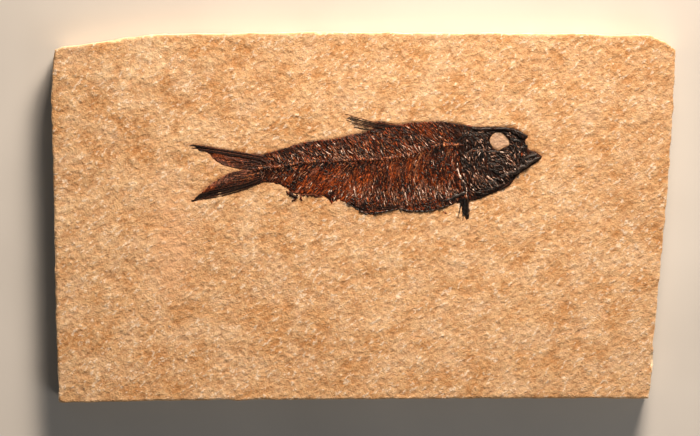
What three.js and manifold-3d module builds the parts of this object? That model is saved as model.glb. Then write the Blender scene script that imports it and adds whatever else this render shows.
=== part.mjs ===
// Fossil fish slab: a thin limestone slab with one complete herring-like fish fused into its face.
// Millimetres, +Z up. The slab lies on its flat back, the fish faces up, its head points to +X
// and its back to +Y. The origin is the middle of the back face's bounding rectangle.
import * as THREE from "three";
import { mergeVertices } from "three/addons/utils/BufferGeometryUtils.js";
import Module from "manifold-3d";

// ---------- driving dimensions ----------
const SLAB_THICKNESS = 9.5;
const ARRIS = 0.5; // worn-off width of the slab's long edges
const FISH_BED = 1.0; // how deep the fossil reaches below the stone's face
const PARTING_GAP = 0.3; // clearance between the fossil and its bed in the stone
const FILM_RISE = 0.35; // the flattened body's height above the face
const SKULL_RISE = 0.75; // skull plates
const COLUMN_RADIUS = 0.95; // a vertebra's largest radius
const COLUMN_SINK = 0.35; // how far the column's axis lies below the face
const BONE_WIDTH = 0.42; // ribs, spines and fin rays, at the root
const BONE_TIP = 0.45; // width at a bone's far end as a share of its root
const BONE_RISE = 0.62;
const VERTEBRAE = 32;
const WAIST = 0.68; // a vertebra's narrowest radius as a share of its rim
const SPINES = [3, 6.4]; // shortest and longest spine above the backbone
const RIBS = [3.4, 13]; // shortest and longest rib below it
const FISH_STEP = 1.6; // spacing of points along the fish's outline
const SLAB_STEP = 6; // spacing of points along the slab's edges
const SPALL_DETAIL = 2; // subdivision of the balls that scoop out broken edges

const wasm = await Module();
wasm.setup();

// ---------- outlines, X and Y in the plane of the face ----------
// The slab's edges, anticlockwise. The broken corner has straight facets.
const BOTTOM_SIDE = [[-93.6, -56.9], [-63, -56.2], [-32, -55.8], [44, -55.5], [87.8, -55.3]];
const RIGHT_SIDE = [[87.8, -55.3], [89.2, -37], [91, -16], [93.2, 14], [94.5, 38], [95, 51.6]];
const BROKEN_CORNER = [[95, 51.6], [93, 53.2], [91.6, 54.2], [90.2, 54.5]];
const TOP_SIDE = [
  [88, 56], [60, 56.6], [15, 56.9], [-30, 56.8], [-50, 56.5], [-64, 56], [-75, 54.7], [-86, 53],
  [-94, 51.4],
];
const LEFT_SIDE = [[-94, 51.4], [-95, 37], [-94.6, 12], [-94.2, -26], [-93.6, -56.9]];

// The fish, from the root of the tail along the back, round the jaws and back along the belly.
const BACK_LINE = [
  [-33.5, 20], [-26, 21.4], [-16, 24], [-6, 25.3], [4, 27.7], [13, 29.3], [24, 30],
  [35, 29.2], [43, 28.6], [48, 27.2], [50.4, 25.6],
];
const SNOUT = [[50.4, 25.6], [49.2, 23.6], [51, 21.4], [53, 20.8], [54.6, 19]];
const THROAT = [[54.6, 19], [50.2, 15.4], [46.4, 12.6], [42, 9.2], [36, 6.8], [29.6, 4.6]];
const BELLY_LINE = [
  [29.6, 4.6], [24, 2.8], [13, 2.3], [3, 1.7], [-3, 3.4], [-9, 5.3], [-17, 7.6],
  [-22, 9], [-27, 10.9], [-33.5, 10.9],
];
// The orbit runs the other way round, as a hole in the outline must.
const ORBIT = [[39.6, 21.9], [41.2, 21.4], [44.4, 23.6], [41.8, 26.3], [39.8, 26.3], [38.7, 24.1]];
const UPPER_TAIL = [[-32, 20], [-42, 21.5], [-53, 23.2], [-46, 18.9], [-38, 15.8], [-32, 15.2]];
const LOWER_TAIL = [[-32, 15.6], [-38, 14.4], [-46, 10.9], [-53.2, 5.6], [-44, 8.1], [-32, 11.2]];
const DORSAL_FIN = [[12, 28.4], [3, 30.6], [-5, 32.4], [-3.6, 29.6], [-1, 27.2], [6, 27.2]];
const PECTORAL_FIN = [[29.8, 6], [30.4, -0.2], [32, -0.4], [32.6, 6.4]];
const PELVIC_FIN = [[12, 4.6], [5, 1.6], [4.6, 2.6], [11, 5.4]];
const ANAL_FIN = [[-14, 8], [-20.6, 6.6], [-21.2, 7.6], [-18, 9.4]];

// The backbone, from the tail to the skull.
const BACKBONE = new THREE.SplineCurve(vectors([
  [-32.5, 15.4], [-24, 16.2], [-12, 17.5], [0, 18.3], [10, 19.4], [19, 21.6], [29.5, 22.6],
]));

// ---------- helpers ----------
function vectors(pairs) {
  return pairs.map(([x, y]) => new THREE.Vector2(x, y));
}

// Points along a smooth curve through the given ones, without the last.
function smoothRun(pairs, step) {
  const curve = new THREE.SplineCurve(vectors(pairs));
  const count = Math.max(2, Math.round(curve.getLength() / step));
  return curve.getSpacedPoints(count).slice(0, -1);
}

function smoothRuns(runs, step) {
  return runs.flatMap((pairs) => smoothRun(pairs, step));
}

// A closed mesh as a solid, with the vertices that its faces share merged.
function solidOf(geometry) {
  const bare = new THREE.BufferGeometry();
  bare.setAttribute("position", geometry.getAttribute("position"));
  if (geometry.index) bare.setIndex(geometry.index);
  const merged = mergeVertices(bare, 1e-4);
  const made = new wasm.Mesh({
    numProp: 3,
    vertProperties: new Float32Array(merged.attributes.position.array),
    triVerts: new Uint32Array(merged.index.array),
  });
  return new wasm.Manifold(made);
}

function meshOf(solid, name, material) {
  const { vertProperties, triVerts } = solid.getMesh();
  const geometry = new THREE.BufferGeometry();
  geometry.setAttribute("position", new THREE.BufferAttribute(vertProperties, 3));
  geometry.setIndex(new THREE.BufferAttribute(triVerts, 1));
  const mesh = new THREE.Mesh(geometry, material);
  mesh.name = name;
  return mesh;
}

// A plate with the shape's outline between two heights.
function plate(shape, low, high) {
  const geometry = new THREE.ExtrudeGeometry(shape, { depth: high - low, bevelEnabled: false });
  return solidOf(geometry.translate(0, 0, low));
}

// A cutter for a bed: the same plate grown sideways by the clearance, with a chamfered floor edge.
function bedCutter(shape, low, high) {
  const chamfer = 0.1;
  const geometry = new THREE.ExtrudeGeometry(shape, {
    depth: high - low - 2 * chamfer,
    bevelThickness: chamfer,
    bevelSize: PARTING_GAP,
    bevelSegments: 1,
  });
  return solidOf(geometry.translate(0, 0, low + chamfer));
}

// A slender bone lying in the face from one point to another, narrower at its far end.
function bone(from, to, width, rise) {
  const along = to.clone().sub(from).normalize();
  const aside = new THREE.Vector2(-along.y, along.x);
  const corners = [
    from.clone().addScaledVector(aside, width / 2),
    from.clone().addScaledVector(aside, -width / 2),
    to.clone().addScaledVector(aside, (-width * BONE_TIP) / 2),
    to.clone().addScaledVector(aside, (width * BONE_TIP) / 2),
  ];
  return plate(new THREE.Shape(corners), SLAB_THICKNESS - FISH_BED / 2, SLAB_THICKNESS + rise);
}

// ---------- the fish's flat outlines ----------
function fishShapes() {
  const body = new THREE.Shape(smoothRuns([BACK_LINE, SNOUT, THROAT, BELLY_LINE], FISH_STEP));
  body.holes.push(new THREE.Path(vectors(ORBIT)));
  const fins = [UPPER_TAIL, LOWER_TAIL, DORSAL_FIN, PECTORAL_FIN, PELVIC_FIN, ANAL_FIN];
  return [body, ...fins.map((pairs) => new THREE.Shape(vectors(pairs)))];
}

function joined(solids) {
  return solids.reduce((whole, piece) => whole.add(piece));
}

// ---------- limestone slab ----------
// Broken edges are scooped out by flattened balls: where each is, its radii and its height.
const SPALLS = [
  { at: [-82, 59], radii: [16, 5.4, 4.2], height: SLAB_THICKNESS + 1.2 },
  { at: [-96, 55], radii: [4.4, 9, 4], height: SLAB_THICKNESS + 1.4 },
  { at: [92, 58.4], radii: [7, 4.8, 4], height: SLAB_THICKNESS + 1 },
  { at: [91.4, -50], radii: [2.6, 7, 4.6], height: SLAB_THICKNESS - 0.6 },
  { at: [-30, -58.2], radii: [15, 2.8, 3.2], height: 0.6 },
];

function limestoneSlab() {
  const outline = new THREE.Shape([
    ...smoothRuns([BOTTOM_SIDE, RIGHT_SIDE], SLAB_STEP),
    ...vectors(BROKEN_CORNER),
    ...smoothRuns([TOP_SIDE, LEFT_SIDE], SLAB_STEP),
  ]);
  const worn = new THREE.ExtrudeGeometry(outline, {
    depth: SLAB_THICKNESS - 2 * ARRIS,
    bevelThickness: ARRIS,
    bevelSize: ARRIS,
    bevelOffset: -ARRIS,
    bevelSegments: 1,
  });
  let stone = solidOf(worn.translate(0, 0, ARRIS));
  for (const { at, radii, height } of SPALLS) {
    const ball = new THREE.IcosahedronGeometry(1, SPALL_DETAIL);
    ball.scale(...radii).translate(at[0], at[1], height);
    stone = stone.subtract(solidOf(ball));
  }
  const bedFloor = SLAB_THICKNESS - FISH_BED - PARTING_GAP;
  for (const shape of fishShapes()) {
    stone = stone.subtract(bedCutter(shape, bedFloor, SLAB_THICKNESS + 1));
  }
  return stone;
}

// ---------- fossil fish ----------
// Vertebrae are spools, strung on the backbone with their waists between shared rims.
// They grow from the tail to the middle of the body and shrink a little towards the skull.
function backboneSolid() {
  const ends = BACKBONE.getSpacedPoints(VERTEBRAE);
  const overlap = 1.08; // neighbours share a little length, so that the column is one piece
  const spools = ends.slice(1).map((end, i) => {
    const start = ends[i];
    const radius = COLUMN_RADIUS * (0.6 + 0.4 * Math.sin((Math.PI * (i + 4)) / (VERTEBRAE + 6)));
    const length = start.distanceTo(end) * overlap;
    const profile = [[0, -0.5], [1, -0.5], [WAIST, 0], [1, 0.5], [0, 0.5]]
      .map(([r, along]) => new THREE.Vector2(r * radius, along * length));
    const spool = new THREE.LatheGeometry(profile, 10);
    spool.rotateZ(Math.atan2(end.y - start.y, end.x - start.x) - Math.PI / 2);
    spool.translate((start.x + end.x) / 2, (start.y + end.y) / 2, SLAB_THICKNESS - COLUMN_SINK);
    return solidOf(spool);
  });
  return joined(spools).trimByPlane([0, 0, 1], SLAB_THICKNESS - FISH_BED / 2);
}

// Spines above the backbone and ribs below it, leaning back, longer and steeper towards the head.
function spinesAndRibs() {
  const bones = [];
  for (let i = 1; i < VERTEBRAE; i += 1) {
    const share = i / VERTEBRAE;
    const root = BACKBONE.getPointAt(share);
    const spine = THREE.MathUtils.lerp(...SPINES, Math.sin(Math.PI * share));
    const rib = THREE.MathUtils.lerp(...RIBS, Math.sin((Math.PI / 2) * share));
    const up = new THREE.Vector2(-0.9, 1).setLength(spine);
    const down = new THREE.Vector2(0.75 * share - 1.1, -1.3 - share).setLength(rib);
    bones.push(bone(root, root.clone().add(up), BONE_WIDTH, BONE_RISE));
    bones.push(bone(root, root.clone().add(down), BONE_WIDTH, BONE_RISE));
  }
  return bones;
}

// Fin rays fan from points on one line to points on another.
function finRays(count, rootFrom, rootTo, tipFrom, tipTo) {
  const ends = [rootFrom, rootTo, tipFrom, tipTo].map(([x, y]) => new THREE.Vector2(x, y));
  return Array.from({ length: count }, (_, i) => {
    const share = i / (count - 1);
    const root = ends[0].clone().lerp(ends[1], share);
    const tip = ends[2].clone().lerp(ends[3], share);
    return bone(root, tip, BONE_WIDTH, BONE_RISE);
  });
}

// Cheek and gill cover plates, the two jaws and the shoulder bone, each a low raised plate.
const SKULL_PLATES = [
  [[29, 20], [31.5, 23], [36, 23.4], [38, 20.6], [39, 15], [37, 10], [32.4, 8.6], [29.4, 13]],
  [[37.4, 28.2], [44, 27.8], [48.6, 26], [47.6, 24.4], [45.2, 26.4], [41, 27.4], [37.8, 27]],
  [[38, 10.4], [45, 13.2], [53.6, 18.8], [51.6, 20.4], [45, 16.6], [39.6, 13]],
  [[43.4, 15.8], [45.6, 18.4], [46.6, 21.8], [48.4, 22.4], [48.6, 19.6], [46.2, 15.8]],
];

function skull() {
  return SKULL_PLATES.map((pairs) =>
    plate(new THREE.Shape(vectors(pairs)), SLAB_THICKNESS - FISH_BED / 2,
      SLAB_THICKNESS + SKULL_RISE));
}

function fossilFish() {
  const films = fishShapes().map((shape) =>
    plate(shape, SLAB_THICKNESS - FISH_BED, SLAB_THICKNESS + FILM_RISE));
  const rays = [
    ...finRays(8, [-32, 19.4], [-32, 16], [-51.4, 22.9], [-38, 16.3]),
    ...finRays(8, [-32, 15.2], [-32, 11.8], [-38, 14], [-51.6, 6.2]),
    ...finRays(7, [10, 28.6], [3, 27.4], [-3.6, 32], [-2.4, 28.6]),
  ];
  return joined([...films, backboneSolid(), ...spinesAndRibs(), ...rays, ...skull()]);
}

// ---------- materials and the part ----------
const limestone = new THREE.MeshStandardMaterial({
  color: 0xd9ab7a,
  roughness: 0.85,
  metalness: 0,
});
const fossilBone = new THREE.MeshStandardMaterial({
  color: 0x4a2818,
  roughness: 0.45,
  metalness: 0,
});

const part = new THREE.Group();
part.add(meshOf(limestoneSlab(), "limestone_slab", limestone));
part.add(meshOf(fossilFish(), "fossil_fish", fossilBone));

export default part;
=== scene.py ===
"""A fossil fish slab: a herring-like fish in the face of a thin slab of laminated limestone.

The slab lies on its back with its face level, the fish's head towards +X and its back towards +Y.
Sizes are worked out in millimetres and turned into metres when a mesh is made.
"""

import math

import bmesh
import bpy
import numpy as np
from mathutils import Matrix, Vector


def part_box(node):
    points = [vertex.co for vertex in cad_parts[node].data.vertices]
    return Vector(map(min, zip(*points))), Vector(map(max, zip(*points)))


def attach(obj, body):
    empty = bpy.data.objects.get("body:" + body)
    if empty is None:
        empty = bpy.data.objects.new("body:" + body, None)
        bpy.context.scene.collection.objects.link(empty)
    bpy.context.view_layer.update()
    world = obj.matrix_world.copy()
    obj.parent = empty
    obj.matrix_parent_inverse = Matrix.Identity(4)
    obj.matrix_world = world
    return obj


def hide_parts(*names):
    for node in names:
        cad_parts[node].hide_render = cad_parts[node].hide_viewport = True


MM = 0.001
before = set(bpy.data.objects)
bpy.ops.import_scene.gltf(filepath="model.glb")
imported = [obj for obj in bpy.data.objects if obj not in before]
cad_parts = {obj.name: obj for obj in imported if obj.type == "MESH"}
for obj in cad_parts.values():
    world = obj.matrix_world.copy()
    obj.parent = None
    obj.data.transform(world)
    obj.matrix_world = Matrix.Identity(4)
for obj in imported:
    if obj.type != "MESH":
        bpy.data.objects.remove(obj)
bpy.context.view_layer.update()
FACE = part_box("limestone_slab")[1][2] / MM  # height of the stone's face

# ---------------------------------------------------------------- outlines, X and Y on the face
SLAB_BOTTOM = [(-93.5, -56.7), (-86, -56.6), (-63, -56.2), (-32, -55.8), (44, -55.4), (87.7, -55.4)]
SLAB_TOP = [
    (-93.8, 51.8), (-92, 52.5), (-87, 53), (-79.7, 54.1), (-70, 55.6), (-62.6, 56.2), (-46, 56.7),
    (-16, 57), (57, 56.7), (87.7, 56.1), (88.6, 55.4), (90.4, 54.6), (91.6, 54.3), (93, 53.2),
    (95, 51.8),
]
SLAB_LEFT = [(-93.5, -56.7), (-94.1, -30.7), (-94.4, 0), (-95, 36.5), (-94.6, 45), (-93.8, 51.8)]
SLAB_RIGHT = [
    (87.7, -55.4), (88.4, -49), (88.9, -45.5), (88.9, -40), (90.7, -18.5), (92.3, 0), (93.5, 18.2),
    (94.4, 33.5), (95, 51.8),
]
BODY = [
    (-34, 20.2), (-31, 20), (-26, 21.5), (-21, 22.9), (-16, 24.1), (-9, 24.9), (-4, 26.1),
    (1, 27.1), (8, 28.9), (13, 29.6), (21, 30.1), (28, 29.8), (33, 28.7), (38.5, 28.5), (43, 28.5),
    (46.7, 27.9), (49.2, 26.5), (50.6, 25.4), (49.5, 24), (50.1, 22.3), (51.2, 21.2), (52.5, 21),
    (54.7, 19.3), (53.5, 17.8), (50.3, 15.4), (47.2, 13.3), (45, 10.4), (42.8, 9.2), (38.5, 7.3),
    (34.2, 5.7), (31, 5.5), (27, 4.3), (23.8, 3), (20.7, 2.4), (14.5, 2.3), (11, 3), (6.4, 2.2),
    (2.6, 1.3), (0, 1.8), (-4.5, 4.7), (-7, 5.8), (-9.5, 5), (-13, 7.1), (-18.4, 7.6), (-21, 7.6),
    (-23.5, 9.4), (-26.7, 10.9), (-30.2, 11.2), (-34, 10.9),
]
SKULL = [
    (29.5, 28.6), (33, 28.4), (38.5, 28.3), (43, 28.2), (46.7, 27.6), (49.2, 26.2), (49.2, 24),
    (50, 21.4), (52.5, 20.8), (54.3, 19.3), (53.5, 18), (50.3, 15.7), (47.2, 13.6), (45, 10.8),
    (42.8, 9.5), (38.5, 7.6), (34.2, 6.1), (30.6, 6), (29, 11), (28.6, 16), (30, 21), (28.5, 25),
]
ORBIT = [
    (39.2, 25.4), (40.5, 26.5), (42.3, 26.3), (43.4, 25.2), (44.5, 23.9), (44.2, 22.8), (42.6, 22.1),
    (41.3, 21.3), (40.1, 21.8), (39.3, 22.8), (38.7, 24),
]
UPPER_TAIL = [
    (-30.5, 19.9), (-33.7, 20.2), (-41.9, 21.5), (-46.6, 22.5), (-53.3, 23.3), (-51.7, 21.8),
    (-48.2, 20.8), (-47, 19.4), (-45.4, 17.8), (-43.3, 16.7), (-39.5, 15.6), (-36, 14.9),
    (-30.5, 14.2),
]
LOWER_TAIL = [
    (-30.5, 16), (-36, 15.4), (-39.3, 14.8), (-42.8, 13.3), (-46.6, 11.2), (-49.1, 8.9),
    (-50.8, 7.5), (-52.6, 5.2), (-49.6, 5.8), (-46.6, 6.8), (-43, 8.4), (-37.2, 9.9), (-30.5, 11.2),
]
DORSAL_FIN = [
    (12.4, 28.2), (8, 29.6), (5.5, 30.3), (3.2, 30.6), (4.2, 29.9), (2.4, 29.4), (3.8, 28.7),
    (2, 28.1), (3, 27.3), (4.7, 27), (9, 27.4),
]
PECTORAL_FIN = [
    (29.2, 6.4), (32.4, 6.6), (32.7, 3.6), (32.5, 0.6), (31.7, -0.7), (30.9, 0.4), (30.3, 1.2),
    (29.9, 3),
]
BACKBONE = [
    (-33.5, 15.4), (-28, 15.9), (-23, 16.5), (-16, 17.7), (-9, 17.8), (2.6, 18.4), (10, 18.8),
    (14.5, 19.9), (18.5, 21.9), (24, 22.6), (31, 22.9),
]
FILMS = (BODY, UPPER_TAIL, LOWER_TAIL, DORSAL_FIN, PECTORAL_FIN)

# ---------------------------------------------------------------- smooth random fields
LATTICE = 256  # random values each way before a field repeats


def value_noise(x, y, seed):
    """Smooth noise from 0 to 1, with one random value for each unit square."""
    table = np.random.default_rng(seed).random((LATTICE, LATTICE))
    column, row = np.floor(x), np.floor(y)
    across, up = x - column, y - row
    across, up = across**2 * (3 - 2 * across), up**2 * (3 - 2 * up)
    column, row = column.astype(int) % LATTICE, row.astype(int) % LATTICE
    right, above = (column + 1) % LATTICE, (row + 1) % LATTICE
    low = table[row, column] * (1 - across) + table[row, right] * across
    high = table[above, column] * (1 - across) + table[above, right] * across
    return low * (1 - up) + high * up


def fractal(x, y, size, seed, octaves=3, gain=0.5):
    """Layered noise from -1 to 1 whose largest features are about a size across.

    Each layer's lattice is turned another way, so that its squares don't show.
    """
    total, weight, amplitude = 0.0, 0.0, 1.0
    for octave in range(octaves):
        scale = 2.0**octave / size
        turn = 0.6 + 1.1 * octave + seed
        across, up = scale * math.cos(turn), scale * math.sin(turn)
        layer = value_noise(x * across - y * up + 7.3, x * up + y * across - 3.1, seed + octave)
        total = total + amplitude * (2 * layer - 1)
        weight += amplitude
        amplitude *= gain
    return total / weight


def streaks(x, y, degrees, length, width, seed, octaves=2):
    """Layered noise drawn out along a direction."""
    turn = math.radians(degrees)
    along = x * math.cos(turn) + y * math.sin(turn)
    across = y * math.cos(turn) - x * math.sin(turn)
    return fractal(along * width / length, across, width, seed, octaves)


def ease(value, low=0.0, high=1.0):
    """0 below low, 1 above high, and a smooth step between."""
    share = np.clip((value - low) / (high - low), 0, 1)
    return share * share * (3 - 2 * share)


# ---------------------------------------------------------------- curves and outlines
def smooth_path(points, step, closed=False):
    """Points about a step apart on the smooth curve through the given ones."""
    given = np.array(points, float)
    if closed:
        padded = np.vstack([given[-1:], given, given[:2]])
    else:
        padded = np.vstack([2 * given[0] - given[1], given, 2 * given[-1] - given[-2]])
    runs = []
    for a, b, c, d in zip(padded, padded[1:], padded[2:], padded[3:]):
        count = max(1, round(float(np.linalg.norm(c - b)) / step))
        t = (np.arange(count) / count)[:, None]
        runs.append(
            0.5 * (2 * b + (c - a) * t + (2 * a - 5 * b + 4 * c - d) * t**2
                   + (3 * b - a - 3 * c + d) * t**3)
        )
    if not closed:
        runs.append(given[-1:])
    return np.vstack(runs)


def even_points(points, shares):
    """Points at shares of the length along a run of straight pieces."""
    points = np.asarray(points, float)
    gaps = np.linalg.norm(np.diff(points, axis=0), axis=1)
    length = np.concatenate([[0], np.cumsum(gaps)])
    return np.stack([np.interp(shares * length[-1], length, points[:, k]) for k in (0, 1)], -1)


OUTSIDE = -3.0  # what depth_inside gives well away from an outline


def depth_inside(x, y, outline, step=0.8):
    """How deep each point lies inside a closed outline, negative outside it."""
    x, y = np.asarray(x, float), np.asarray(y, float)
    shape = smooth_path(outline, step, closed=True)
    low, high = shape.min(0) + OUTSIDE, shape.max(0) - OUTSIDE
    near = (x > low[0]) & (x < high[0]) & (y > low[1]) & (y < high[1])
    px, py = x[near], y[near]
    least = np.full(px.shape, OUTSIDE**2)
    inside = np.zeros(px.shape, bool)
    for (ax, ay), (bx, by) in zip(shape, np.roll(shape, -1, axis=0)):
        dx, dy = bx - ax, by - ay
        share = np.clip(((px - ax) * dx + (py - ay) * dy) / (dx * dx + dy * dy), 0, 1)
        least = np.minimum(least, (px - ax - share * dx) ** 2 + (py - ay - share * dy) ** 2)
        if ay != by:
            inside ^= ((ay > py) != (by > py)) & (px < ax + (py - ay) * dx / dy)
    depth = np.full(x.shape, OUTSIDE)
    depth[near] = np.sqrt(least) * np.where(inside, 1, -1)
    return depth


# ---------------------------------------------------------------- relief of the stone's face
def stone_grain(x, y):
    """The finest lumps of the bedding plane, from about -1 to 1."""
    shift = 0.9 * fractal(x, y, 3.5, 51, 1)
    lumps = streaks(x + shift, y - shift, 32, 1.9, 1.3, 31, 1)
    return 0.45 * lumps + 0.55 * fractal(x, y, 1.05, 41, 1)


def ripple_relief(x, y):
    """Wavy crests drawn out towards the far right corner, and the grain on them."""
    rippled = ease(-x, -20, 70) * ease(y, -80, 10)
    crests = 0.35 - np.abs(streaks(x, y, 40, 5.6, 3.4, 21, 2))
    humps = streaks(x, y, 36, 8.5, 5.2, 27, 2)
    return (0.08 + 0.07 * rippled) * humps + (0.02 + 0.1 * rippled) * crests + 0.13 * stone_grain(x, y)


def stone_relief(x, y):
    """Height of the stone's face above its mean level: a slow swell and the ripples on it."""
    swell = 0.2 * fractal(x, y, 60, 11, 2) + 0.08 * streaks(x, y, 35, 16, 8, 15, 2)
    return swell + ripple_relief(x, y)


def fish_depth(x, y):
    """Depth inside the whole fish, with the orbit's window of bare stone left out."""
    parts = [depth_inside(x, y, outline) for outline in FILMS]
    return np.minimum(np.max(parts, axis=0), -depth_inside(x, y, ORBIT, 0.4))


BED = 0.4  # how far the stone lies lower under the fish


def stone_height(x, y):
    """Height of the stone's face, with the bed of the fish sunk into it."""
    under = ease(fish_depth(x, y), 0.1, 0.9)
    return FACE + stone_relief(x, y) * (1 - 0.6 * under) - BED * under


# ---------------------------------------------------------------- meshes
def make_piece(name, vertices, faces, material, attributes=(), fibre=None, sharp=None):
    """A mesh object from vertices in millimetres, with point attributes and a fibre UV map."""
    mesh = bpy.data.meshes.new(name)
    mesh.from_pydata((np.asarray(vertices) * MM).tolist(), [], faces)
    mesh.polygons.foreach_set("use_smooth", np.ones(len(mesh.polygons), bool))
    if sharp is not None:
        mesh.set_sharp_from_angle(angle=math.radians(sharp))
    for label, values in dict(attributes).items():
        mesh.attributes.new(label, "FLOAT", "POINT").data.foreach_set("value", values)
    if fibre is not None:
        corners = np.zeros(len(mesh.loops), int)
        mesh.loops.foreach_get("vertex_index", corners)
        mesh.uv_layers.new(name="fibre").data.foreach_set("uv", fibre[corners].ravel())
    mesh.materials.append(material)
    piece = bpy.data.objects.new(name, mesh)
    bpy.context.collection.objects.link(piece)
    return piece


def keep(piece, slot, *nodes):
    """Fixes a finished piece to the slab and hides the CAD solids that it stands for. The slot is not used.
    """
    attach(piece, "root")
    if nodes:
        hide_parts(*nodes)


# ---------------------------------------------------------------- node trees
def colour(code):
    """A colour from its six-digit sRGB code, in linear light."""
    parts = [int(code[k:k + 2], 16) / 255 for k in (0, 2, 4)]
    return [p / 12.92 if p <= 0.04045 else ((p + 0.055) / 1.055) ** 2.4 for p in parts] + [1.0]


class Field:
    """A socket's value in a node tree. Arithmetic on it adds the Math nodes."""

    def __init__(self, graph, socket):
        self.graph = graph
        self.socket = socket

    def maths(self, operation, *values):
        return self.graph.node("ShaderNodeMath", {"operation": operation}, values)

    def __add__(self, other):
        return self.maths("ADD", self, other)

    def __radd__(self, other):
        return self.maths("ADD", other, self)

    def __sub__(self, other):
        return self.maths("SUBTRACT", self, other)

    def __rsub__(self, other):
        return self.maths("SUBTRACT", other, self)

    def __mul__(self, other):
        return self.maths("MULTIPLY", self, other)

    def __rmul__(self, other):
        return self.maths("MULTIPLY", other, self)

    def __truediv__(self, other):
        return self.maths("DIVIDE", self, other)

    def floor(self):
        return self.maths("FLOOR", self)

    def size(self):
        return self.maths("ABSOLUTE", self)

    def step(self, low, high):
        """0 below low, 1 above high, and a smooth step between."""
        settings = {"interpolation_type": "SMOOTHSTEP"}
        ends = {"From Min": low, "From Max": high, "To Min": 0.0, "To Max": 1.0}
        return self.graph.node("ShaderNodeMapRange", settings, {"Value": self, **ends})


class Graph:
    """A node tree that is filled by code."""

    def __init__(self, tree):
        self.tree = tree

    def node(self, kind, settings=(), inputs=(), output=0):
        """Adds a node. Settings come first; inputs go by name or by order among the live sockets."""
        made = self.tree.nodes.new(kind)
        for name, value in dict(settings).items():
            if name == "ramp":
                self.fill_ramp(made.color_ramp, value)
            else:
                setattr(made, name, value)
        live = [socket for socket in made.inputs if socket.enabled]
        named = inputs.items() if isinstance(inputs, dict) else enumerate(inputs)
        for key, value in named:
            found = [s for k, s in enumerate(live) if key in (k, s.name)]
            self.feed(found[0], value)
        outputs = [socket for socket in made.outputs if socket.enabled]
        chosen = [s for k, s in enumerate(outputs) if output in (k, s.name)]
        return Field(self, chosen[0]) if chosen else None

    def feed(self, socket, value):
        if isinstance(value, Field):
            self.tree.links.new(value.socket, socket)
        else:
            socket.default_value = value

    @staticmethod
    def fill_ramp(ramp, stops):
        while len(ramp.elements) < len(stops):
            ramp.elements.new(1.0)
        for element, (place, tone) in zip(ramp.elements, stops):
            element.position = place
            element.color = tone

    def vector(self, x=0.0, y=0.0, z=0.0):
        return self.node("ShaderNodeCombineXYZ", (), [x, y, z])

    def vector_maths(self, operation, *values):
        return self.node("ShaderNodeVectorMath", {"operation": operation}, values)

    def scaled(self, vector, scale):
        inputs = {"Vector": vector, "Scale": scale}
        return self.node("ShaderNodeVectorMath", {"operation": "SCALE"}, inputs)

    def between(self, a, b, factor):
        """A number between two others."""
        return a + (b - a) * factor


class Finish(Graph):
    """A procedural material in the making."""

    def __init__(self, name):
        self.material = bpy.data.materials.new(name)
        self.material.use_nodes = True
        self.material.node_tree.nodes.clear()
        super().__init__(self.material.node_tree)
        place = self.node("ShaderNodeTexCoord", (), (), "Object")
        self.place = self.scaled(place, 1 / MM)

    def noise(self, size, detail=2.0, roughness=0.5, place=None, stretch=(1, 1, 1), shift=0.0, turn=0):
        """Noise whose features are about a size across, in millimetres, turned by some degrees."""
        scale = [size / s for s in stretch]
        inputs = {
            "Vector": place or self.place, "Scale": scale, "Location": [shift] * 3,
            "Rotation": (0.0, 0.0, math.radians(turn)),
        }
        placed = self.node("ShaderNodeMapping", {"vector_type": "TEXTURE"}, inputs)
        texture = {"Vector": placed, "Scale": 1.0, "Detail": detail, "Roughness": roughness}
        return self.node("ShaderNodeTexNoise", (), texture)

    def reading(self, label):
        """A point attribute of the mesh."""
        return self.node("ShaderNodeAttribute", {"attribute_name": label}, (), "Fac")

    def fibre(self):
        """The mesh's own coordinates across and along its fibres, in millimetres."""
        return self.node("ShaderNodeUVMap", {"uv_map": "fibre"})

    def ramp(self, value, *stops):
        tones = [(place, colour(code)) for place, code in stops]
        return self.node("ShaderNodeValToRGB", {"ramp": tones}, [value])

    def coat(self, under, code, factor):
        """An even colour laid over another colour by a factor."""
        return self.blend(under, colour(code), factor)

    def blend(self, under, over, factor):
        """One colour laid over another by a factor."""
        inputs = {"Factor": factor, "A": under, "B": over}
        return self.node("ShaderNodeMix", {"data_type": "RGBA"}, inputs)

    def bump(self, height, depth):
        """A normal for a height from 0 to 1 that stands for a depth in millimetres."""
        inputs = {"Height": height, "Distance": depth * MM, "Strength": 1.0}
        return self.node("ShaderNodeBump", (), inputs)

    def surface(self, base, roughness, normal, specular):
        """Ends the material: a principled surface whose specular level is the same all over."""
        inputs = {
            "Base Color": base, "Roughness": roughness, "Normal": normal, "Specular IOR Level": specular,
        }
        shader = self.node("ShaderNodeBsdfPrincipled", (), inputs)
        self.node("ShaderNodeOutputMaterial", (), {"Surface": shader})
        return self.material


FALL = 20.0  # points start their fall this far above the face


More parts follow.
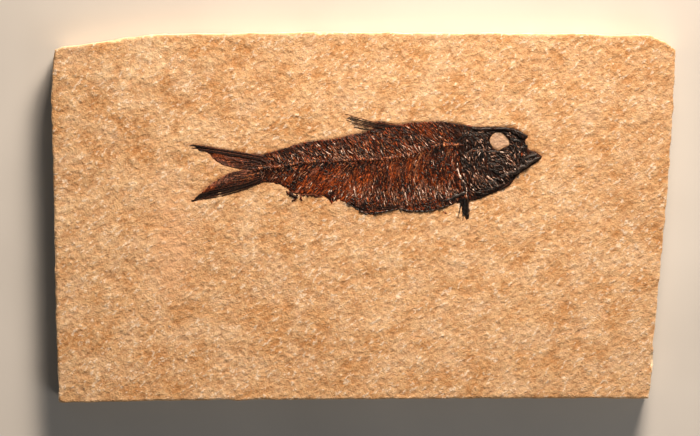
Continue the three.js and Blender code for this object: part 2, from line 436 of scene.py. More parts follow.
class Plan(Graph):
    """A Geometry Nodes tree in the making, with named inputs."""

    def __init__(self, name, **inputs):
        super().__init__(bpy.data.node_groups.new(name, "GeometryNodeTree"))
        face = self.tree.interface
        for label, kind in inputs.items():
            face.new_socket(label, in_out="INPUT", socket_type="NodeSocket" + kind)
        face.new_socket("Geometry", in_out="OUTPUT", socket_type="NodeSocketGeometry")
        self.source = self.tree.nodes.new("NodeGroupInput")

    def given(self, label):
        return Field(self, self.source.outputs[label])

    def shape_of(self, label):
        """The geometry of an object that is given as an input."""
        return self.node("GeometryNodeObjectInfo", (), [self.given(label)], "Geometry")

    def chance(self, low, high, seed, identity=None):
        inputs = {"Min": low, "Max": high, "Seed": seed}
        if identity is not None:
            inputs["ID"] = identity
        return self.node("FunctionNodeRandomValue", (), inputs)

    def read(self, label):
        return self.node("GeometryNodeInputNamedAttribute", (), [label])

    def store(self, geometry, label, value, domain="POINT"):
        inputs = {"Geometry": geometry, "Name": label, "Value": value}
        return self.node("GeometryNodeStoreNamedAttribute", {"domain": domain}, inputs)

    def dropped(self, geometry, lift, stiffness=0):
        """Lets points fall straight down and rest a lift above the ground's surface.

        Stiff curves don't follow each bump, so they sink in at some places and stand out at others.
        """
        place = self.node("GeometryNodeInputPosition")
        above = self.vector_maths("ADD", place, (0.0, 0.0, FALL * MM))
        ray = {
            "Target Geometry": self.shape_of("ground"), "Source Position": above,
            "Ray Direction": (0.0, 0.0, -1.0), "Ray Length": 2 * FALL * MM,
        }
        landed = self.node("GeometryNodeRaycast", (), ray, "Hit Position")
        geometry = self.node("GeometryNodeSetPosition", (), {"Geometry": geometry, "Position": landed})
        height = self.node("ShaderNodeSeparateXYZ", (), [place], "Z")
        level = height
        if stiffness:
            smoothing = {"Value": height, "Iterations": stiffness}
            level = self.node("GeometryNodeBlurAttribute", {"data_type": "FLOAT"}, smoothing)
        rise = self.vector(z=level - height + lift)
        return self.node("GeometryNodeSetPosition", (), {"Geometry": geometry, "Offset": rise})

    def looks(self, points, seed, identity=None):
        """Gives each point a tint, mostly dark, and a girth."""
        chance = self.chance(0.0, 1.0, seed, identity)
        points = self.store(points, "tint", chance * chance)
        return self.store(points, "girth", self.chance(0.5, 1.35, seed + 1, identity))

    def rods(self, curves, radius, sides):
        """Round rods along curves, closed at both ends and realized."""
        ring = self.node("GeometryNodeCurvePrimitiveCircle", (), {"Resolution": sides, "Radius": 1.0})
        inputs = {"Curve": curves, "Profile Curve": ring, "Scale": radius, "Fill Caps": True}
        return self.node("GeometryNodeCurveToMesh", (), inputs)

    def finish(self, geometry):
        """Ends the tree with smooth, realized geometry in the given material."""
        smooth = self.node("GeometryNodeSetShadeSmooth", (), [geometry])
        real = self.node("GeometryNodeRealizeInstances", (), [smooth])
        inputs = {"Geometry": real, "Material": self.given("finish")}
        coated = self.node("GeometryNodeSetMaterial", (), inputs)
        self.node("NodeGroupOutput", (), [coated])
        return self.tree


def grow(name, tree, **sizes):
    """Runs a tree with its sizes and gives the result as a plain mesh object."""
    piece = bpy.data.objects.new(name, bpy.data.meshes.new(name))
    bpy.context.collection.objects.link(piece)
    modifier = piece.modifiers.new("grow", "NODES")
    modifier.node_group = tree
    keys = {item.name: item.identifier for item in tree.interface.items_tree}
    for label, value in sizes.items():
        modifier[keys[label]] = value
    graph = bpy.context.evaluated_depsgraph_get()
    mesh = bpy.data.meshes.new_from_object(piece.evaluated_get(graph), depsgraph=graph)
    piece.modifiers.clear()
    piece.data = mesh
    mesh.name = name
    return piece


# ---------------------------------------------------------------- finishes
def limestone():
    """Warm tan stone with freckles, painted highlights on its crests and ridges and painted shade in its
    troughs and pits, and pale layered walls where it has broken.
    """
    finish = Finish("tan_laminated_limestone")
    freckle = finish.noise(1.25, 3.0, 0.65, shift=80)
    grain = finish.noise(0.5, 2.0, 0.6, shift=120)
    wrinkle = finish.noise(2.6, 3.0, 0.6, stretch=(0.6, 1, 1), shift=160, turn=36)
    ridge_bump_and_highlight = 1 - (wrinkle - 0.5).size() * 7
    speck_bump_and_painted_light = finish.noise(1.0, 2.0, 0.6, stretch=(0.55, 1, 1), shift=200, turn=42)
    face = stone_face(finish, freckle, ridge_bump_and_highlight, speck_bump_and_painted_light)
    tone = finish.blend(face, stone_wall(finish), finish.reading("broken"))
    rough = finish.between(0.74, 0.92, freckle)
    height = ridge_bump_and_highlight * 0.09 + freckle * 0.5 + speck_bump_and_painted_light * 0.3 + grain * 0.1
    return finish.surface(tone, rough, finish.bump(height, 0.7), 0.25)


def stone_face(finish, freckle, ridge_bump_and_highlight, speck_bump_and_painted_light):
    """The face's colour: slow drifts of tan, then coat over coat of spots and specks, with painted
    highlights on the crests, ridges and raised specks and painted shade in the troughs and pits.
    """
    crest, stain = finish.reading("crest"), finish.reading("stain")
    bleach, window = finish.reading("bleach"), finish.reading("window")
    drift = finish.noise(34, 3.0, 0.55)
    patch = finish.noise(8, 3.0, 0.5, shift=40)
    tone = finish.ramp(drift, (0.3, "B28A62"), (0.52, "B8916A"), (0.72, "BE9A74"))
    tone = finish.coat(tone, "A5723E", patch.step(0.48, 0.68) * 0.62)  # rusty patches
    tone = finish.coat(tone, "C2A485", patch.step(0.5, 0.34) * 0.55)  # ashen patches
    tone = finish.coat(tone, "825228", freckle.step(0.48, 0.68) * 0.35)
    # painted highlight on the ripple crests, where the relief stands highest
    tone = finish.coat(tone, "D9C2A0", crest.step(0.55, 0.95) * 0.45)
    tone = finish.coat(tone, "835428", crest.step(0.5, 0.1) * 0.4)  # painted shade in the troughs between the crests
    # painted highlight along the wrinkle ridges that the bump raises
    tone = finish.coat(tone, "D6BA8E", ridge_bump_and_highlight.step(0.45, 1.0) * 0.25)
    tone = finish.coat(tone, "6C4017", speck_bump_and_painted_light.step(0.44, 0.3) * 0.34)  # painted shade in the pits of the bump
    tone = finish.coat(tone, "E1D6C5", speck_bump_and_painted_light.step(0.56, 0.7) * 0.5)  # painted highlight on the raised specks of the bump
    tone = finish.coat(tone, "945328", stain * 0.35)
    tone = finish.coat(tone, "C9A07C", bleach * 0.7)
    return finish.coat(tone, "A98D79", window * 0.75)


def stone_wall(finish):
    """The broken walls' colour: fine level layers under pale dust."""
    layer = finish.noise(0.9, 3.0, 0.7, stretch=(0.02, 0.02, 1), shift=11)
    dust = finish.noise(3.2, 4.0, shift=17)
    wall = finish.ramp(layer, (0.3, "AE8660"), (0.45, "D0B38F"), (0.6, "E0CAA8"), (0.75, "BF976C"))
    return finish.coat(wall, "E8D8BE", dust.step(0.45, 0.7) * 0.6)


def fossil_skin():
    """Flattened skin and scales: umber streaked along the fibres, rusty patches, sooty parts, and pale
    mineral with painted glints.
    """
    finish = Finish("umber_fossil_skin")
    ember, soot, pale = (finish.reading(label) for label in ("ember", "soot", "pale"))
    fibre = finish.fibre()
    strand = finish.noise(0.34, 2.0, 0.6, fibre, (1, 0.16, 1))
    thread = finish.noise(0.62, 3.0, 0.6, fibre, (1, 0.2, 1), 30)
    crumb = finish.noise(0.62, 3.0, 0.65, shift=9)
    tangle = strand * 0.32 + thread * 0.26 + crumb * 0.42
    umber = finish.ramp(
        tangle, (0.4, "050302"), (0.48, "1A0A05"), (0.54, "4A1D0D"), (0.6, "8C421A"), (0.67, "B87446")
    )
    rusty = finish.ramp(
        tangle, (0.38, "180803"), (0.48, "4A1C0A"), (0.56, "8C4018"), (0.64, "C0692E"), (0.72, "D69A68")
    )
    black = finish.ramp(tangle, (0.42, "070505"), (0.54, "150D09"), (0.63, "2F1C13"), (0.72, "6A4A36"))
    # pale mineral tones, partly painted glints on the bones under the skin
    chalk_and_glint = finish.ramp(tangle, (0.4, "4A2A20"), (0.52, "8A6658"), (0.66, "C8AFA4"))
    warm = finish.blend(umber, rusty, ember)
    lighter = finish.blend(warm, chalk_and_glint, pale)
    tone = finish.blend(lighter, black, soot)
    rough = finish.between(0.62, 0.36, thread)
    height = strand * 0.5 + crumb * 0.5
    return finish.surface(tone, rough, finish.bump(height, 0.35), 0.14)


def fossil_bone(name, *stops, gloss=0.3, shine=0.4, rust=0.0, pits=0.14):
    """Mineralised bone. Each bone has its own tint between the given tones, and may turn rusty.

    gloss is the least roughness, shine the specular level, and pits the depth of its bumps.
    """
    finish = Finish(name)
    tint = finish.reading("tint")
    mottle = finish.noise(0.5, 3.0, 0.65, shift=5)
    tone = finish.ramp(tint * 0.5 + mottle.step(0.3, 0.7) * 0.5, *stops)
    ochre = finish.ramp(mottle, (0.38, "1E0A04"), (0.52, "642A10"), (0.66, "B06632"))
    patch = finish.noise(2.6, 2.0, 0.5, shift=25).step(0.52, 0.64)
    rusted = finish.blend(tone, ochre, patch * rust)
    rough = finish.between(gloss, gloss + 0.25, mottle)
    return finish.surface(rusted, rough, finish.bump(mottle, pits), shine)


STONE = limestone()
SKIN = fossil_skin()
BONE = fossil_bone(
    "brown_fossil_bone", (0.15, "050302"), (0.38, "1C0B05"), (0.6, "5C250C"), (0.88, "B27A50"),
    shine=0.3, rust=0.7,
)
DARK_BONE = fossil_bone(
    "black_fossil_bone", (0.1, "040303"), (0.5, "110B08"), (0.9, "3A261A"),
    gloss=0.24, shine=0.5, pits=0.28,
)
RAY_BONE = fossil_bone(
    "dark_brown_fin_ray", (0.1, "0A0504"), (0.45, "26120B"), (0.85, "6C3A24"), gloss=0.5, shine=0.15
)
# pale bone whose near-white tones are partly painted glints
PALE_GLINT_BONE = fossil_bone("pale_fossil_bone", (0.1, "3A2018"), (0.5, "8E6650"), (0.9, "E6D4C8"))
RUST_BONE = fossil_bone(
    "rust_red_fossil_bone", (0.1, "3A1006"), (0.5, "7C2C0E"), (0.9, "B86034"), gloss=0.5, shine=0.2
)

# ---------------------------------------------------------------- the limestone slab
FACE_COLUMNS = 360  # cells along the face, a whole number of back cells
FACE_ROWS = 216
BACK_SKIP = 3  # cells of the face to one cell of the back
WALL_ROWS = 9
WALL_STEP = 0.52  # about how far the wall's columns stand apart
BACK_SHRINK = (0.982, 0.97)  # how the back's net draws in from the walls' feet
FLAKES = [  # broken-off flakes: centre, radii, depth
    ((-81, 56.5), (15, 2.6), 1.3), ((-95.2, 50.5), (1.6, 5), 0.6), ((93.6, 56), (5, 2.4), 1.3),
    ((-13, 57.3), (2.4, 1.1), 0.8), ((89.4, -44), (1.5, 4), 1.0), ((-94.4, -57), (2.2, 1.6), 1.0),
    ((30, 57.2), (5, 0.8), 0.5), ((62, -56), (3.5, 1), 0.6), ((-50, -56.6), (6, 0.9), 0.5),
]
PALE_SPOTS = [  # centre and radius
    (12.7, 51.2, 1.4), (15.8, -35.7, 1.2), (-46.8, 15.6, 1.3), (-60, 3, 1.6), (-62.5, -6, 1.2),
    (66, 30, 0.9), (-71, 41, 1.1), (31, -49, 1.0), (74, -30, 1.1), (-20, -29, 1.0), (48, 44, 0.9),
]


def eased_shares(count):
    """Shares of a side, even in the middle and closer together towards both ends."""
    place = np.arange(count) + 0.5
    gaps = 1 - 0.6 * np.exp(-np.minimum(place, count - place) / 3)
    return np.concatenate([[0], np.cumsum(gaps)]) / gaps.sum()


def slab_places(u, v):
    """Places on the face between its four edges, for shares along it and across it."""
    bottom, top = even_points(SLAB_BOTTOM, u), even_points(SLAB_TOP, u)
    left, right = even_points(SLAB_LEFT, v), even_points(SLAB_RIGHT, v)
    for k, (edge, share) in enumerate([(bottom, u), (top, u), (left, v), (right, v)]):
        wobble = fractal(share * 190, share * 0, 5, 61 + k, 3) * 0.3
        edge[:, 1 if k < 2 else 0] += wobble * ease(np.minimum(share, 1 - share), 0, 0.03)
    s, t = u[None, :, None], v[:, None, None]
    ruled = (1 - t) * bottom[None] + t * top[None] + (1 - s) * left[:, None] + s * right[:, None]
    corners = ((1 - s) * (1 - t) * left[0] + s * (1 - t) * right[0]
               + (1 - s) * t * left[-1] + s * t * right[-1])
    return ruled - corners


def worn_edge(x, y, u, v):
    """How far the face falls away near the slab's edges and where flakes have broken off."""
    long_way = np.minimum(u, 1 - u)[None, :] * np.ptp(SLAB_TOP, axis=0)[0]
    short_way = np.minimum(v, 1 - v)[:, None] * np.ptp(SLAB_LEFT, axis=0)[1]
    edge = np.minimum(long_way, short_way)
    width = 0.55 + 0.3 * fractal(x, y, 4, 71, 3)
    drop = 0.55 * width * np.clip(1 - edge / width, 0, 1) ** 1.6
    for (cx, cy), (rx, ry), depth in FLAKES:
        reach = 1 - np.hypot((x - cx) / rx, (y - cy) / ry) + 0.18 * fractal(x, y, 1.6, 81, 2)
        drop = np.maximum(drop, depth * ease(reach, 0, 0.55))
    return drop


def wall_inset(distance, z):
    """How far the broken wall lies inside the outline: layers that step in and out, and scoops."""
    layers = value_noise(z / 0.55, distance / 38, 91) * 0.28
    scoops = ease(fractal(distance, z * 3, 11, 92, 3), 0.05, 0.8) * 0.7
    return layers + scoops + 0.12 * value_noise(distance / 0.9, z / 0.5, 93)


def bleached_map(x, y):
    """Where the stone is paler: a patch by the tail, and odd spots."""
    patch = np.exp(-(((x + 58) / 7) ** 2 + ((y + 8) / 15) ** 2)) * (0.7 + 0.6 * fractal(x, y, 5, 97, 3))
    spots = [ease(1 - np.hypot(x - cx, y - cy) / r, 0, 0.4) for cx, cy, r in PALE_SPOTS]
    return np.clip(np.maximum.reduce([patch, *spots]), 0, 1)


def ring_place(i, j):
    """Order of a border place of the face's grid, anticlockwise from the first corner."""
    if j == 0:
        return i
    if i == FACE_COLUMNS:
        return FACE_COLUMNS + j
    if j == FACE_ROWS:
        return 2 * FACE_COLUMNS + FACE_ROWS - i
    return 2 * (FACE_COLUMNS + FACE_ROWS) - j


def with_ring_between(corners, order, ring):
    """A back cell's corners, with the ring's vertices that lie on its own stretch of the border."""
    loop = []
    for a, b in zip(corners, corners[1:] + corners[:1]):
        loop.append(a)
        if a in order and b in order:
            gap = (order[b] - order[a]) % len(ring)
            way = 1 if gap == BACK_SKIP else -1
            loop += [ring[(order[a] + way * k) % len(ring)] for k in range(1, BACK_SKIP)]
    return loop


def face_quads():
    """The face's cells, row by row."""
    across = FACE_COLUMNS + 1
    return [
        (j * across + i, j * across + i + 1, (j + 1) * across + i + 1, (j + 1) * across + i)
        for j in range(FACE_ROWS) for i in range(FACE_COLUMNS)
    ]


def border_ring():
    """The vertices on the face's border, anticlockwise from the first corner."""
    across = FACE_COLUMNS + 1
    return (
        list(range(FACE_COLUMNS))
        + [j * across + FACE_COLUMNS for j in range(FACE_ROWS)]
        + [FACE_ROWS * across + i for i in range(FACE_COLUMNS, 0, -1)]
        + [j * across for j in range(FACE_ROWS, 0, -1)]
    )


def wall_places(rim):
    """Rows of places on the broken walls, from below the face's rim down to the back."""
    ahead, behind = np.roll(rim, -2, axis=0), np.roll(rim, 2, axis=0)
    outward = np.stack([(ahead - behind)[:, 1], -(ahead - behind)[:, 0]], -1)
    outward /= np.linalg.norm(outward, axis=1)[:, None]
    distance = np.arange(len(rim)) * WALL_STEP
    rows = []
    for row in range(1, WALL_ROWS + 1):
        height = rim[:, 2] * (1 - row / WALL_ROWS)
        foot = 0.5 * ease(1 - height / 0.8) if row < WALL_ROWS else 0.6
        inset = (wall_inset(distance, height) + foot)[:, None]
        rows.append(np.column_stack([rim[:, :2] - outward * inset, height]))
    return rows


def wall_quads(ring):
    """The walls' cells, and the ring of vertices at their feet."""
    count = len(ring)
    total = (FACE_COLUMNS + 1) * (FACE_ROWS + 1)
    quads, upper = [], ring
    for row in range(WALL_ROWS):
        lower = list(range(total + row * count, total + (row + 1) * count))
        for k in range(count):
            n = (k + 1) % count
            quads.append((upper[k], lower[k], lower[n], upper[n]))
        upper = lower
    return quads, upper


def back_places(x, y):
    """Places on the split back, off its border, with shallow pits."""
    inner = (slice(BACK_SKIP, -BACK_SKIP, BACK_SKIP),) * 2
    back_x, back_y = x[inner] * BACK_SHRINK[0], y[inner] * BACK_SHRINK[1]
    pits = ease(fractal(back_x, back_y, 14, 95, 4), 0.0, 0.7) * 0.45
    return np.stack([back_x, back_y, pits], -1).reshape(-1, 3)


def back_quads(ring, total):
    """The back's cells, between the ring at the walls' feet and the inner vertices from total on."""
    inner_across = FACE_COLUMNS // BACK_SKIP - 1
    order = {vertex: k for k, vertex in enumerate(ring)}

    def vertex_at(i, j):
        if i in (0, FACE_COLUMNS) or j in (0, FACE_ROWS):
            return ring[ring_place(i, j) % len(ring)]
        return total + (j // BACK_SKIP - 1) * inner_across + i // BACK_SKIP - 1

    quads = []
    for j in range(0, FACE_ROWS, BACK_SKIP):
        for i in range(0, FACE_COLUMNS, BACK_SKIP):
            far_i, far_j = i + BACK_SKIP, j + BACK_SKIP
            corners = [vertex_at(*place) for place in ((i, j), (i, far_j), (far_i, far_j), (far_i, j))]
            if any(corner in order for corner in corners):
                corners = with_ring_between(corners, order, ring)
            quads.append(tuple(corners))
    return quads


def stone_tones(x, y, drop, others):
    """The stone's point attributes: on the face first, then on the walls and the back."""
    window = ease(depth_inside(x, y, ORBIT, 0.4), -0.2, 0.3)
    on_the_face = {
        # painted highlight and shade: the ripples' height, which lightens the crests and darkens the troughs
        "crest": 0.5 + 2.2 * ripple_relief(x, y),
        "broken": ease(drop, 0.12, 0.45),
        "stain": ease(fish_depth(x, y), -0.6, 0.3) * (1 - window),
        "bleach": bleached_map(x, y),
        "window": window,
    }
    elsewhere = {"crest": 0.5, "broken": 1.0, "stain": 0.0, "bleach": 0.0, "window": 0.0}
    return {
        name: np.concatenate([tone.ravel(), np.full(others, elsewhere[name])])
        for name, tone in on_the_face.items()
    }


def limestone_slab():
    """The whole slab as one closed mesh: rippled face, layered broken walls and flat split back."""
    u, v = eased_shares(FACE_COLUMNS), eased_shares(FACE_ROWS)
    places = slab_places(u, v)
    x, y = places[..., 0], places[..., 1]
    drop = worn_edge(x, y, u, v)
    face = np.stack([x, y, stone_height(x, y) - drop], -1).reshape(-1, 3)
    ring = border_ring()
    front = np.vstack([face, *wall_places(face[ring])])
    vertices = np.vstack([front, back_places(x, y)])
    walls, foot = wall_quads(ring)
    faces = face_quads() + walls + back_quads(foot, len(front))
    tones = stone_tones(x, y, drop, len(vertices) - len(face))
    return make_piece("limestone_slab_stone", vertices, faces, STONE, tones, sharp=62)


# ---------------------------------------------------------------- the fish's skin
def backbone_height(x):
    """Where the backbone runs across the slab, at each place along it."""
    line = smooth_path(BACKBONE, 0.5)
    return np.interp(x, line[:, 0], line[:, 1])


def chevrons(x, y):
    """Coordinates across and along the bones, which lean back from the backbone both ways.

    Near the belly the ribs turn forward again.
    """
    off = y - backbone_height(x)
    above, below = np.maximum(off, 0), np.maximum(-off, 0)
    lean = 0.75 - 0.55 * ease(x, -20, 15)
    forward = 0.017 * ease(x, -12, 10)
    return x + 0.8 * above + lean * below - forward * below**2, off


SKULL_PLATES = {  # outline and height above the rest of the skull
    "gill cover": (
        [(31.2, 19.6), (33.5, 21.4), (37, 20.6), (38.2, 16.5), (37.4, 12), (34.4, 8.6), (32, 10.6),
         (30.3, 13.8)], 0.28),
    "cheek": ([(38.4, 20.4), (42.6, 20.8), (44.8, 18.8), (44, 15.6), (40.6, 13.8), (38.8, 16.6)], 0.16),
    "forehead": (
        [(33.4, 27.9), (38, 28.1), (43, 28.2), (47, 27.5), (49.6, 25.8), (48.8, 24.4), (46, 26),
         (43.6, 27), (39, 27.2), (36, 26.3)], 0.3),
    "upper jaw": (
        [(44.2, 16), (45.6, 18.2), (46.4, 20.8), (48, 22.4), (49.4, 22), (48.4, 19.4), (46.8, 16.8),
         (45.2, 15)], 0.22),
    "lower jaw": (
        [(40.6, 12.6), (44.6, 14.8), (48.6, 17.8), (51, 20.2), (52.8, 20.4), (54, 19.2), (51.6, 17.2),
         (46.6, 13.9), (42.6, 11.4)], 0.34),
    "shoulder leaf": ([(26.6, 22.6), (28.4, 23.2), (31.4, 26.2), (30.2, 26.4), (27.8, 24.8)], 0.25),
    "nape": ([(31.6, 23.6), (33.8, 26.8), (37, 26.2), (38, 23.6), (35, 22.4)], 0.2),
    "throat": ([(33, 8.6), (37, 9), (42, 10.8), (45.6, 12.9), (42, 9.9), (36, 7.2)], 0.15),
}
TAIL_FORK = 15.2  # height on the face between the tail's lobes
TAIL_LEANS = (-17, 24)  # degrees by which the rays of the upper and the lower lobe lean


def skull_relief(x, y):
    """Bone plates of the skull, with a crushed and pitted surface."""
    total = 0.12 * fractal(x, y, 2.6, 401, 3) + 0.07 * fractal(x, y, 0.7, 411, 2)
    for outline, rise in SKULL_PLATES.values():
        depth = depth_inside(x, y, outline, 0.6)
        total = total + rise * ease(depth + 0.12 * fractal(x, y, 0.8, 421, 1), -0.05, 0.35)
        total = total - 0.12 * ease(0.25 - np.abs(depth + 0.15), 0, 0.25)
    return total


def body_relief(x, y):
    """Ridges of bones and scales under the skin, over a backbone that stands a little higher."""
    across, off = chevrons(x, y)
    ridges = fractal(across, off * 0.2, 1.0, 301, 2)
    hairs = fractal(across, off * 0.25, 0.45, 311, 1)
    rows = 0.5 + 0.5 * np.cos(2 * math.pi * across / 1.7)
    ribbed = ease(-off, 1.5, 5) * ease(x, -14, -4)
    spine = np.exp(-((off / 0.8) ** 2)) * ease(x, -34, -28)
    return 0.11 * ridges + 0.07 * hairs + 0.1 * rows * ribbed + 0.16 * spine


def fin_relief(x, y, degrees):
    """Fine ridges along a fin's rays."""
    return 0.1 * streaks(x, y, degrees, 6, 0.55, 331, 2)


def tail_relief(x, y):
    """Ridges on the tail's two lobes, which fan out from the fork."""
    upper, lower = (fin_relief(x, y, lean) for lean in TAIL_LEANS)
    return np.where(y > TAIL_FORK, upper, lower) - 0.1


def ragged(x, y, depth):
    """The depth inside an outline, with the border made ragged; most along the belly."""
    belly = ease(9 - y, -2, 5) * ease(x, -26, -20) * ease(-x, -27, -14)
    coarse = fractal(x, y, 1.7, 341, 3)
    return depth + (0.36 + 0.8 * belly) * coarse + 0.2 * fractal(x, y, 0.5, 351, 1)


def comb(x, y, depth, degrees):
    """The depth inside a fin's outline, frayed along its rays."""
    frayed = 0.6 * streaks(x, y, degrees, 4, 0.4, 361, 2)
    return depth + frayed + 0.3 * fractal(x, y, 0.7, 371, 2) - 0.12


def lead_distance(x, y):
    """How far a place on the tail lies behind the leading edge of its lobe."""
    upper = 20.1 - 0.157 * (x + 33) - y
    lower = y - (11.2 + 0.29 * (x + 33))
    return np.minimum(np.abs(upper), np.abs(lower))


def spot(x, y, centre, radii):
    """1 at a centre, fading smoothly to 0 beyond the radii."""
    return np.exp(-(((x - centre[0]) / radii[0]) ** 2 + ((y - centre[1]) / radii[1]) ** 2))


def ember_map(x, y):
    """Where the skin is rusty orange."""
    across, off = chevrons(x, y)
    blotch = fractal(across, off * 0.5, 3.2, 501, 3)
    rear_belly = spot(x, y, (-10, 11.5), (13, 4.2))
    back = spot(x, y, (20, 27.2), (9, 2.4))
    chest = spot(x, y, (16, 13), (12, 5))
    tail_root = spot(x, y, (-27.5, 19), (2.5, 1.8))
    tail = ease(-x, 32, 36) * ease(lead_distance(x, y), 0.8, 2.2)
    level = 0.15 + 0.95 * rear_belly + 0.6 * back + 0.45 * chest + 0.3 * tail_root + 0.5 * tail
    return ease(blotch + level, 0.4, 0.9)


def pale_map(x, y):
    """Where pale mineral and painted glints show: along the backbone and on the ribs' ends near the belly.
    """
    across, off = chevrons(x, y)
    # pale mineral along the backbone, partly a painted line of glints
    spine = np.exp(-((off / 0.75) ** 2)) * (0.12 + 0.7 * ease(x, 13, 19))
    # painted glint streaks along the ribs near the belly
    rows = ease(np.cos(2 * math.pi * across / 1.5), 0.55, 0.95)
    belly = ease(x, -6, 2) * ease(-x, -28, -22) * ease(y, 3, 5) * ease(-y, -11, -7)
    speck = ease(fractal(across, off * 0.3, 0.7, 511, 2), 0.25, 0.6)
    root = spot(x, y, (-31.6, 15.8), (1.6, 2.6)) * speck
    tail = ease(-x, 33, 37) * ease(lead_distance(x, y), 1.8, 3.4) * 0.2
    ribs = rows * belly * (0.3 + 0.7 * speck)
    return np.clip(tail + root + spine * speck + ribs + 0.35 * speck, 0, 1)


def soot_map(x, y):
    """Where the fossil is nearly black: the head, fins' roots and leading edges, and the back's edge."""
    head = ease(x + 0.35 * (y - 17), 27.5, 32) * (0.86 + 0.14 * fractal(x, y, 2, 521, 2))
    tail = ease(-x, 30, 33.5) * (1 - ease(lead_distance(x, y), 1.0, 2.6))
    fin = ease(depth_inside(x, y, DORSAL_FIN), -0.2, 0.5) * ease(x, 0, 5) * 0.9
    chest_fin = ease(depth_inside(x, y, PECTORAL_FIN), -0.4, 0.3) * ease(7 - y, 0, 1)
    root = spot(x, y, (-29, 14.6), (4, 3.5)) * 0.75
    mottle = ease(fractal(x, y, 3.4, 531, 3), 0.05, 0.5) * 0.65
    return np.clip(np.maximum.reduce([head, tail, fin, chest_fin, root, mottle]), 0, 1)


FILM_MARGIN = 0.55  # how far a film's net reaches past its outline
FILM_RISE = 0.16  # a film's height over the face
FILM_SINK = 0.5  # how far a film's ragged edge dips under the face
FILM_ROOT = 1.0  # how far a film's underside lies under the face


def film_net(outline, cell, side):
    """A net of cells over an outline, as (x, y, depth) of its points, and its faces."""
    shape = smooth_path(outline, 0.8, closed=True)
    low = np.floor((shape.min(0) - 1) / cell) * cell
    count = np.ceil((shape.max(0) + 1 - low) / cell).astype(int)
    x, y = np.meshgrid(low[0] + cell * np.arange(count[0] + 1), low[1] + cell * np.arange(count[1] + 1))
    depth = depth_inside(x, y, outline)
    cells = (depth[:-1, :-1] > -FILM_MARGIN) & side(x[:-1, :-1] + cell / 2, y[:-1, :-1] + cell / 2)
    used = np.zeros(x.shape, bool)
    for dj, di in ((0, 0), (0, 1), (1, 0), (1, 1)):
        used[dj:dj + cells.shape[0], di:di + cells.shape[1]] |= cells
    number = np.full(x.shape, -1)
    number[used] = np.arange(used.sum())
    corners = [number[:-1, :-1], number[:-1, 1:], number[1:, 1:], number[1:, :-1]]
    faces = np.stack([corner[cells] for corner in corners], -1).tolist()
    return x[used], y[used], depth[used], faces


def border_loop(faces):
    """The vertices along the border of a sheet of faces, in order."""
    edges = set()
    for face in faces:
        for start, end in zip(face, face[1:] + face[:1]):
            if (end, start) in edges:
                edges.remove((end, start))
            else:
                edges.add((start, end))
    follow = dict(edges)
    first = next(iter(follow))
    loop = [first]
    while follow[loop[-1]] != first:
        loop.append(follow[loop[-1]])
    return loop


def skin_piece(name, outline, cell, side, relief, border):
    """A closed film over an outline, whose edge dips under the stone where the skin ends.

    side says which places belong to the piece, relief gives its ridges, and border turns the
    depth inside the outline into the depth inside the ragged edge.
    """
    x, y, inside, faces = film_net(outline, cell, side)
    edge = np.minimum(border(x, y, inside), -depth_inside(x, y, ORBIT, 0.4))
    lift = ease(edge, -0.12, 0.5)
    swell = 0.3 * ease(inside, 0.5, 7)
    sunk = -FILM_SINK * (1 - lift)
    height = stone_relief(x, y) * 0.5 + sunk + lift * (FILM_RISE + swell + relief(x, y))
    top = np.stack([x, y, FACE + height], -1)
    loop = border_loop(faces)
    floor = top[loop] * [1, 1, 0] + [0, 0, FACE - FILM_ROOT]
    base = len(top)
    for k, start in enumerate(loop):
        n = (k + 1) % len(loop)
        faces.append([start, base + k, base + n, loop[n]])
    faces.append([base + k for k in reversed(range(len(loop)))])
    vertices = np.vstack([top, floor])
    vx, vy = vertices[:, 0], vertices[:, 1]
    tones = {"ember": ember_map(vx, vy), "soot": soot_map(vx, vy), "pale": pale_map(vx, vy)}
    return make_piece(name, vertices, faces, SKIN, tones, np.stack(chevrons(vx, vy), -1))


GILL = 30.0  # where the skull's film takes over from the body's
TAIL_ROOT = -31.5  # where the tail fin's films take over
DORSAL_LEAN = -28  # degrees
PECTORAL_LEAN = 82


def fish_skin():
    """The six films: body, skull, the tail's two lobes, dorsal fin and pectoral fin."""
    body = skin_piece(
        "fish_body_skin", BODY, 0.14, lambda x, y: (x > TAIL_ROOT) & (x < GILL), body_relief, ragged
    )
    skull = skin_piece(
        "fish_skull", BODY, 0.12, lambda x, y: x > GILL,
        lambda x, y: 0.2 + skull_relief(x, y),
        lambda x, y, depth: depth + 0.15 * fractal(x, y, 0.9, 371, 2),
    )
    tails = [
        skin_piece(
            name, outline, 0.14, lambda x, y: x < TAIL_ROOT, tail_relief,
            lambda x, y, depth, turn=turn: comb(x, y, depth, turn),
        )
        for name, outline, turn in (
            ("tail_fin_upper_skin", UPPER_TAIL, TAIL_LEANS[0]),
            ("tail_fin_lower_skin", LOWER_TAIL, TAIL_LEANS[1]),
        )
    ]
    dorsal = skin_piece(
        "dorsal_fin_skin", DORSAL_FIN, 0.14, lambda x, y: x < 13,
        lambda x, y: fin_relief(x, y, DORSAL_LEAN) - 0.05,
        lambda x, y, depth: comb(x, y, depth, DORSAL_LEAN),
    )
    pectoral = skin_piece(
        "pectoral_fin_skin", PECTORAL_FIN, 0.12, lambda x, y: y < 6.6,
        lambda x, y: fin_relief(x, y, PECTORAL_LEAN) - 0.05,
        lambda x, y, depth: comb(x, y, depth, PECTORAL_LEAN),
    )
    return [body, skull, *tails, dorsal, pectoral]


